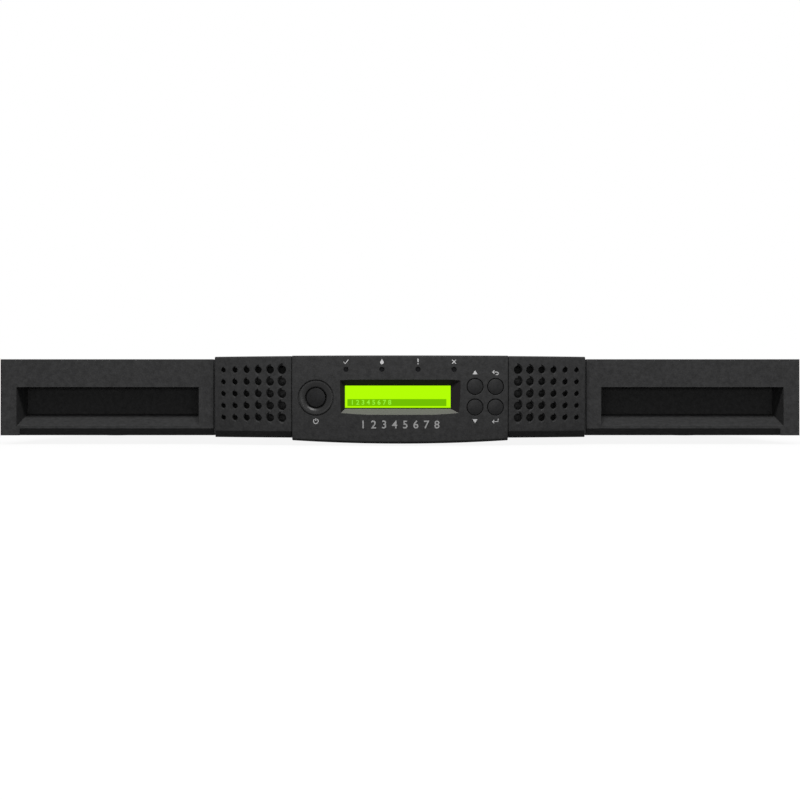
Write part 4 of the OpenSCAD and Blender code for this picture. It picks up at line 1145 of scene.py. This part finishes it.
for finish_material, node_names in CAD_FINISH:
    for node_name in node_names.split():
        cad_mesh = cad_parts[node_name].data
        cad_mesh.materials.clear()
        cad_mesh.materials.append(finish_material)


# ---- Stage, light and camera ----

SHADOW_SHARE = 0.1
AMBIENT = 0.16
WHITE = (1, 1, 1, 1)
CAMERA_DISTANCE, CAMERA_RISE = 1.0, 19.8 * MM
SENSOR = 36
# The share of the picture's width that the chassis fills
FILL = 799 / 800


def stage_material():
    """A white floor: it keeps a share of the object's shadow, and throws little light back up."""
    material = bpy.data.materials.new("white_floor")
    tree = blank_tree(material)
    seen = (tree.node("ShaderNodeLightPath", output="Is Camera Ray")
            .or_else(tree.node("ShaderNodeLightPath", output="Is Glossy Ray")))
    shaded = tree.node("ShaderNodeBsdfDiffuse", Color=(0.95, 0.95, 0.95, 1))
    glow = tree.node("ShaderNodeEmission", Color=WHITE, Strength=1.0)
    shown = tree.node("ShaderNodeMixShader", Fac=1 - SHADOW_SHARE, Shader=shaded, Shader_001=glow)
    bounce = tree.node("ShaderNodeBsdfDiffuse", Color=(0.06, 0.06, 0.06, 1))
    floor = tree.node("ShaderNodeMixShader", Fac=seen, Shader=bounce, Shader_001=shown)
    tree.node("ShaderNodeOutputMaterial", Surface=floor)
    return material


def studio_world():
    """White to the camera, in gloss and through glass; a low even light otherwise."""
    world = bpy.data.worlds.new("studio")
    bpy.context.scene.world = world
    tree = blank_tree(world)
    seen = tree.node("ShaderNodeLightPath", output="Is Camera Ray")
    for ray in ("Is Glossy Ray", "Is Transmission Ray"):
        seen = seen.or_else(tree.node("ShaderNodeLightPath", output=ray))
    ground = tree.node("ShaderNodeBackground", Color=WHITE, Strength=seen * (1 - AMBIENT) + AMBIENT)
    tree.node("ShaderNodeOutputWorld", Surface=ground)


def stage():
    """The floor, which is no piece of the part, and the light round it."""
    bm = bmesh.new()
    half = 6.0
    corners = ((-half, -half), (half, -half), (half, half), (-half, half))
    bm.faces.new([bm.verts.new((x, y, 0)) for x, y in corners])
    floor = from_bmesh("floor", bm)
    floor.data.materials.append(stage_material())
    studio_world()


def lamp(name, place, target, size, power):
    """A rectangular lamp that faces its target."""
    data = bpy.data.lights.new(name, "AREA")
    data.shape = "RECTANGLE"
    data.size, data.size_y = size
    data.energy = power
    obj = new_object(name, data)
    obj.location = place
    obj.rotation_euler = (Vector(target) - Vector(place)).to_track_quat("-Z", "Y").to_euler()


def camera():
    """Level in front of the face, with the chassis across the whole picture."""
    data = bpy.data.cameras.new("camera")
    low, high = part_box("base_tray")
    data.sensor_width = SENSOR
    data.lens = SENSOR * CAMERA_DISTANCE * FILL / (high.x - low.x)
    data.clip_start, data.clip_end = 0.05, 20
    obj = new_object("camera", data)
    obj.location = (0.0, FACE_Y - CAMERA_DISTANCE, FACE_Z + CAMERA_RISE)
    obj.rotation_euler = (math.pi / 2, 0, 0)
    bpy.context.scene.camera = obj


stage()
lamp("high_front_softbox", (0.0, FACE_Y - 1.1, 1.38), (0.0, FACE_Y, 0.02), (0.8, 0.3), 28)
lamp("low_front_fill", (0.0, FACE_Y - 1.6, 0.12), (0.0, FACE_Y, 0.03), (1.4, 0.2), 4.0)
lamp("overhead_softbox", (0.0, FACE_Y + 0.35, 1.5), (0.0, FACE_Y + 0.3, 0.0), (1.2, 1.0), 4)
lamp("back_fill", (1.2, 1.9, 1.3), (0.0, 0.3, 0.02), (1.2, 1.0), 9)
camera()
bpy.context.scene.view_settings.view_transform = "Standard"
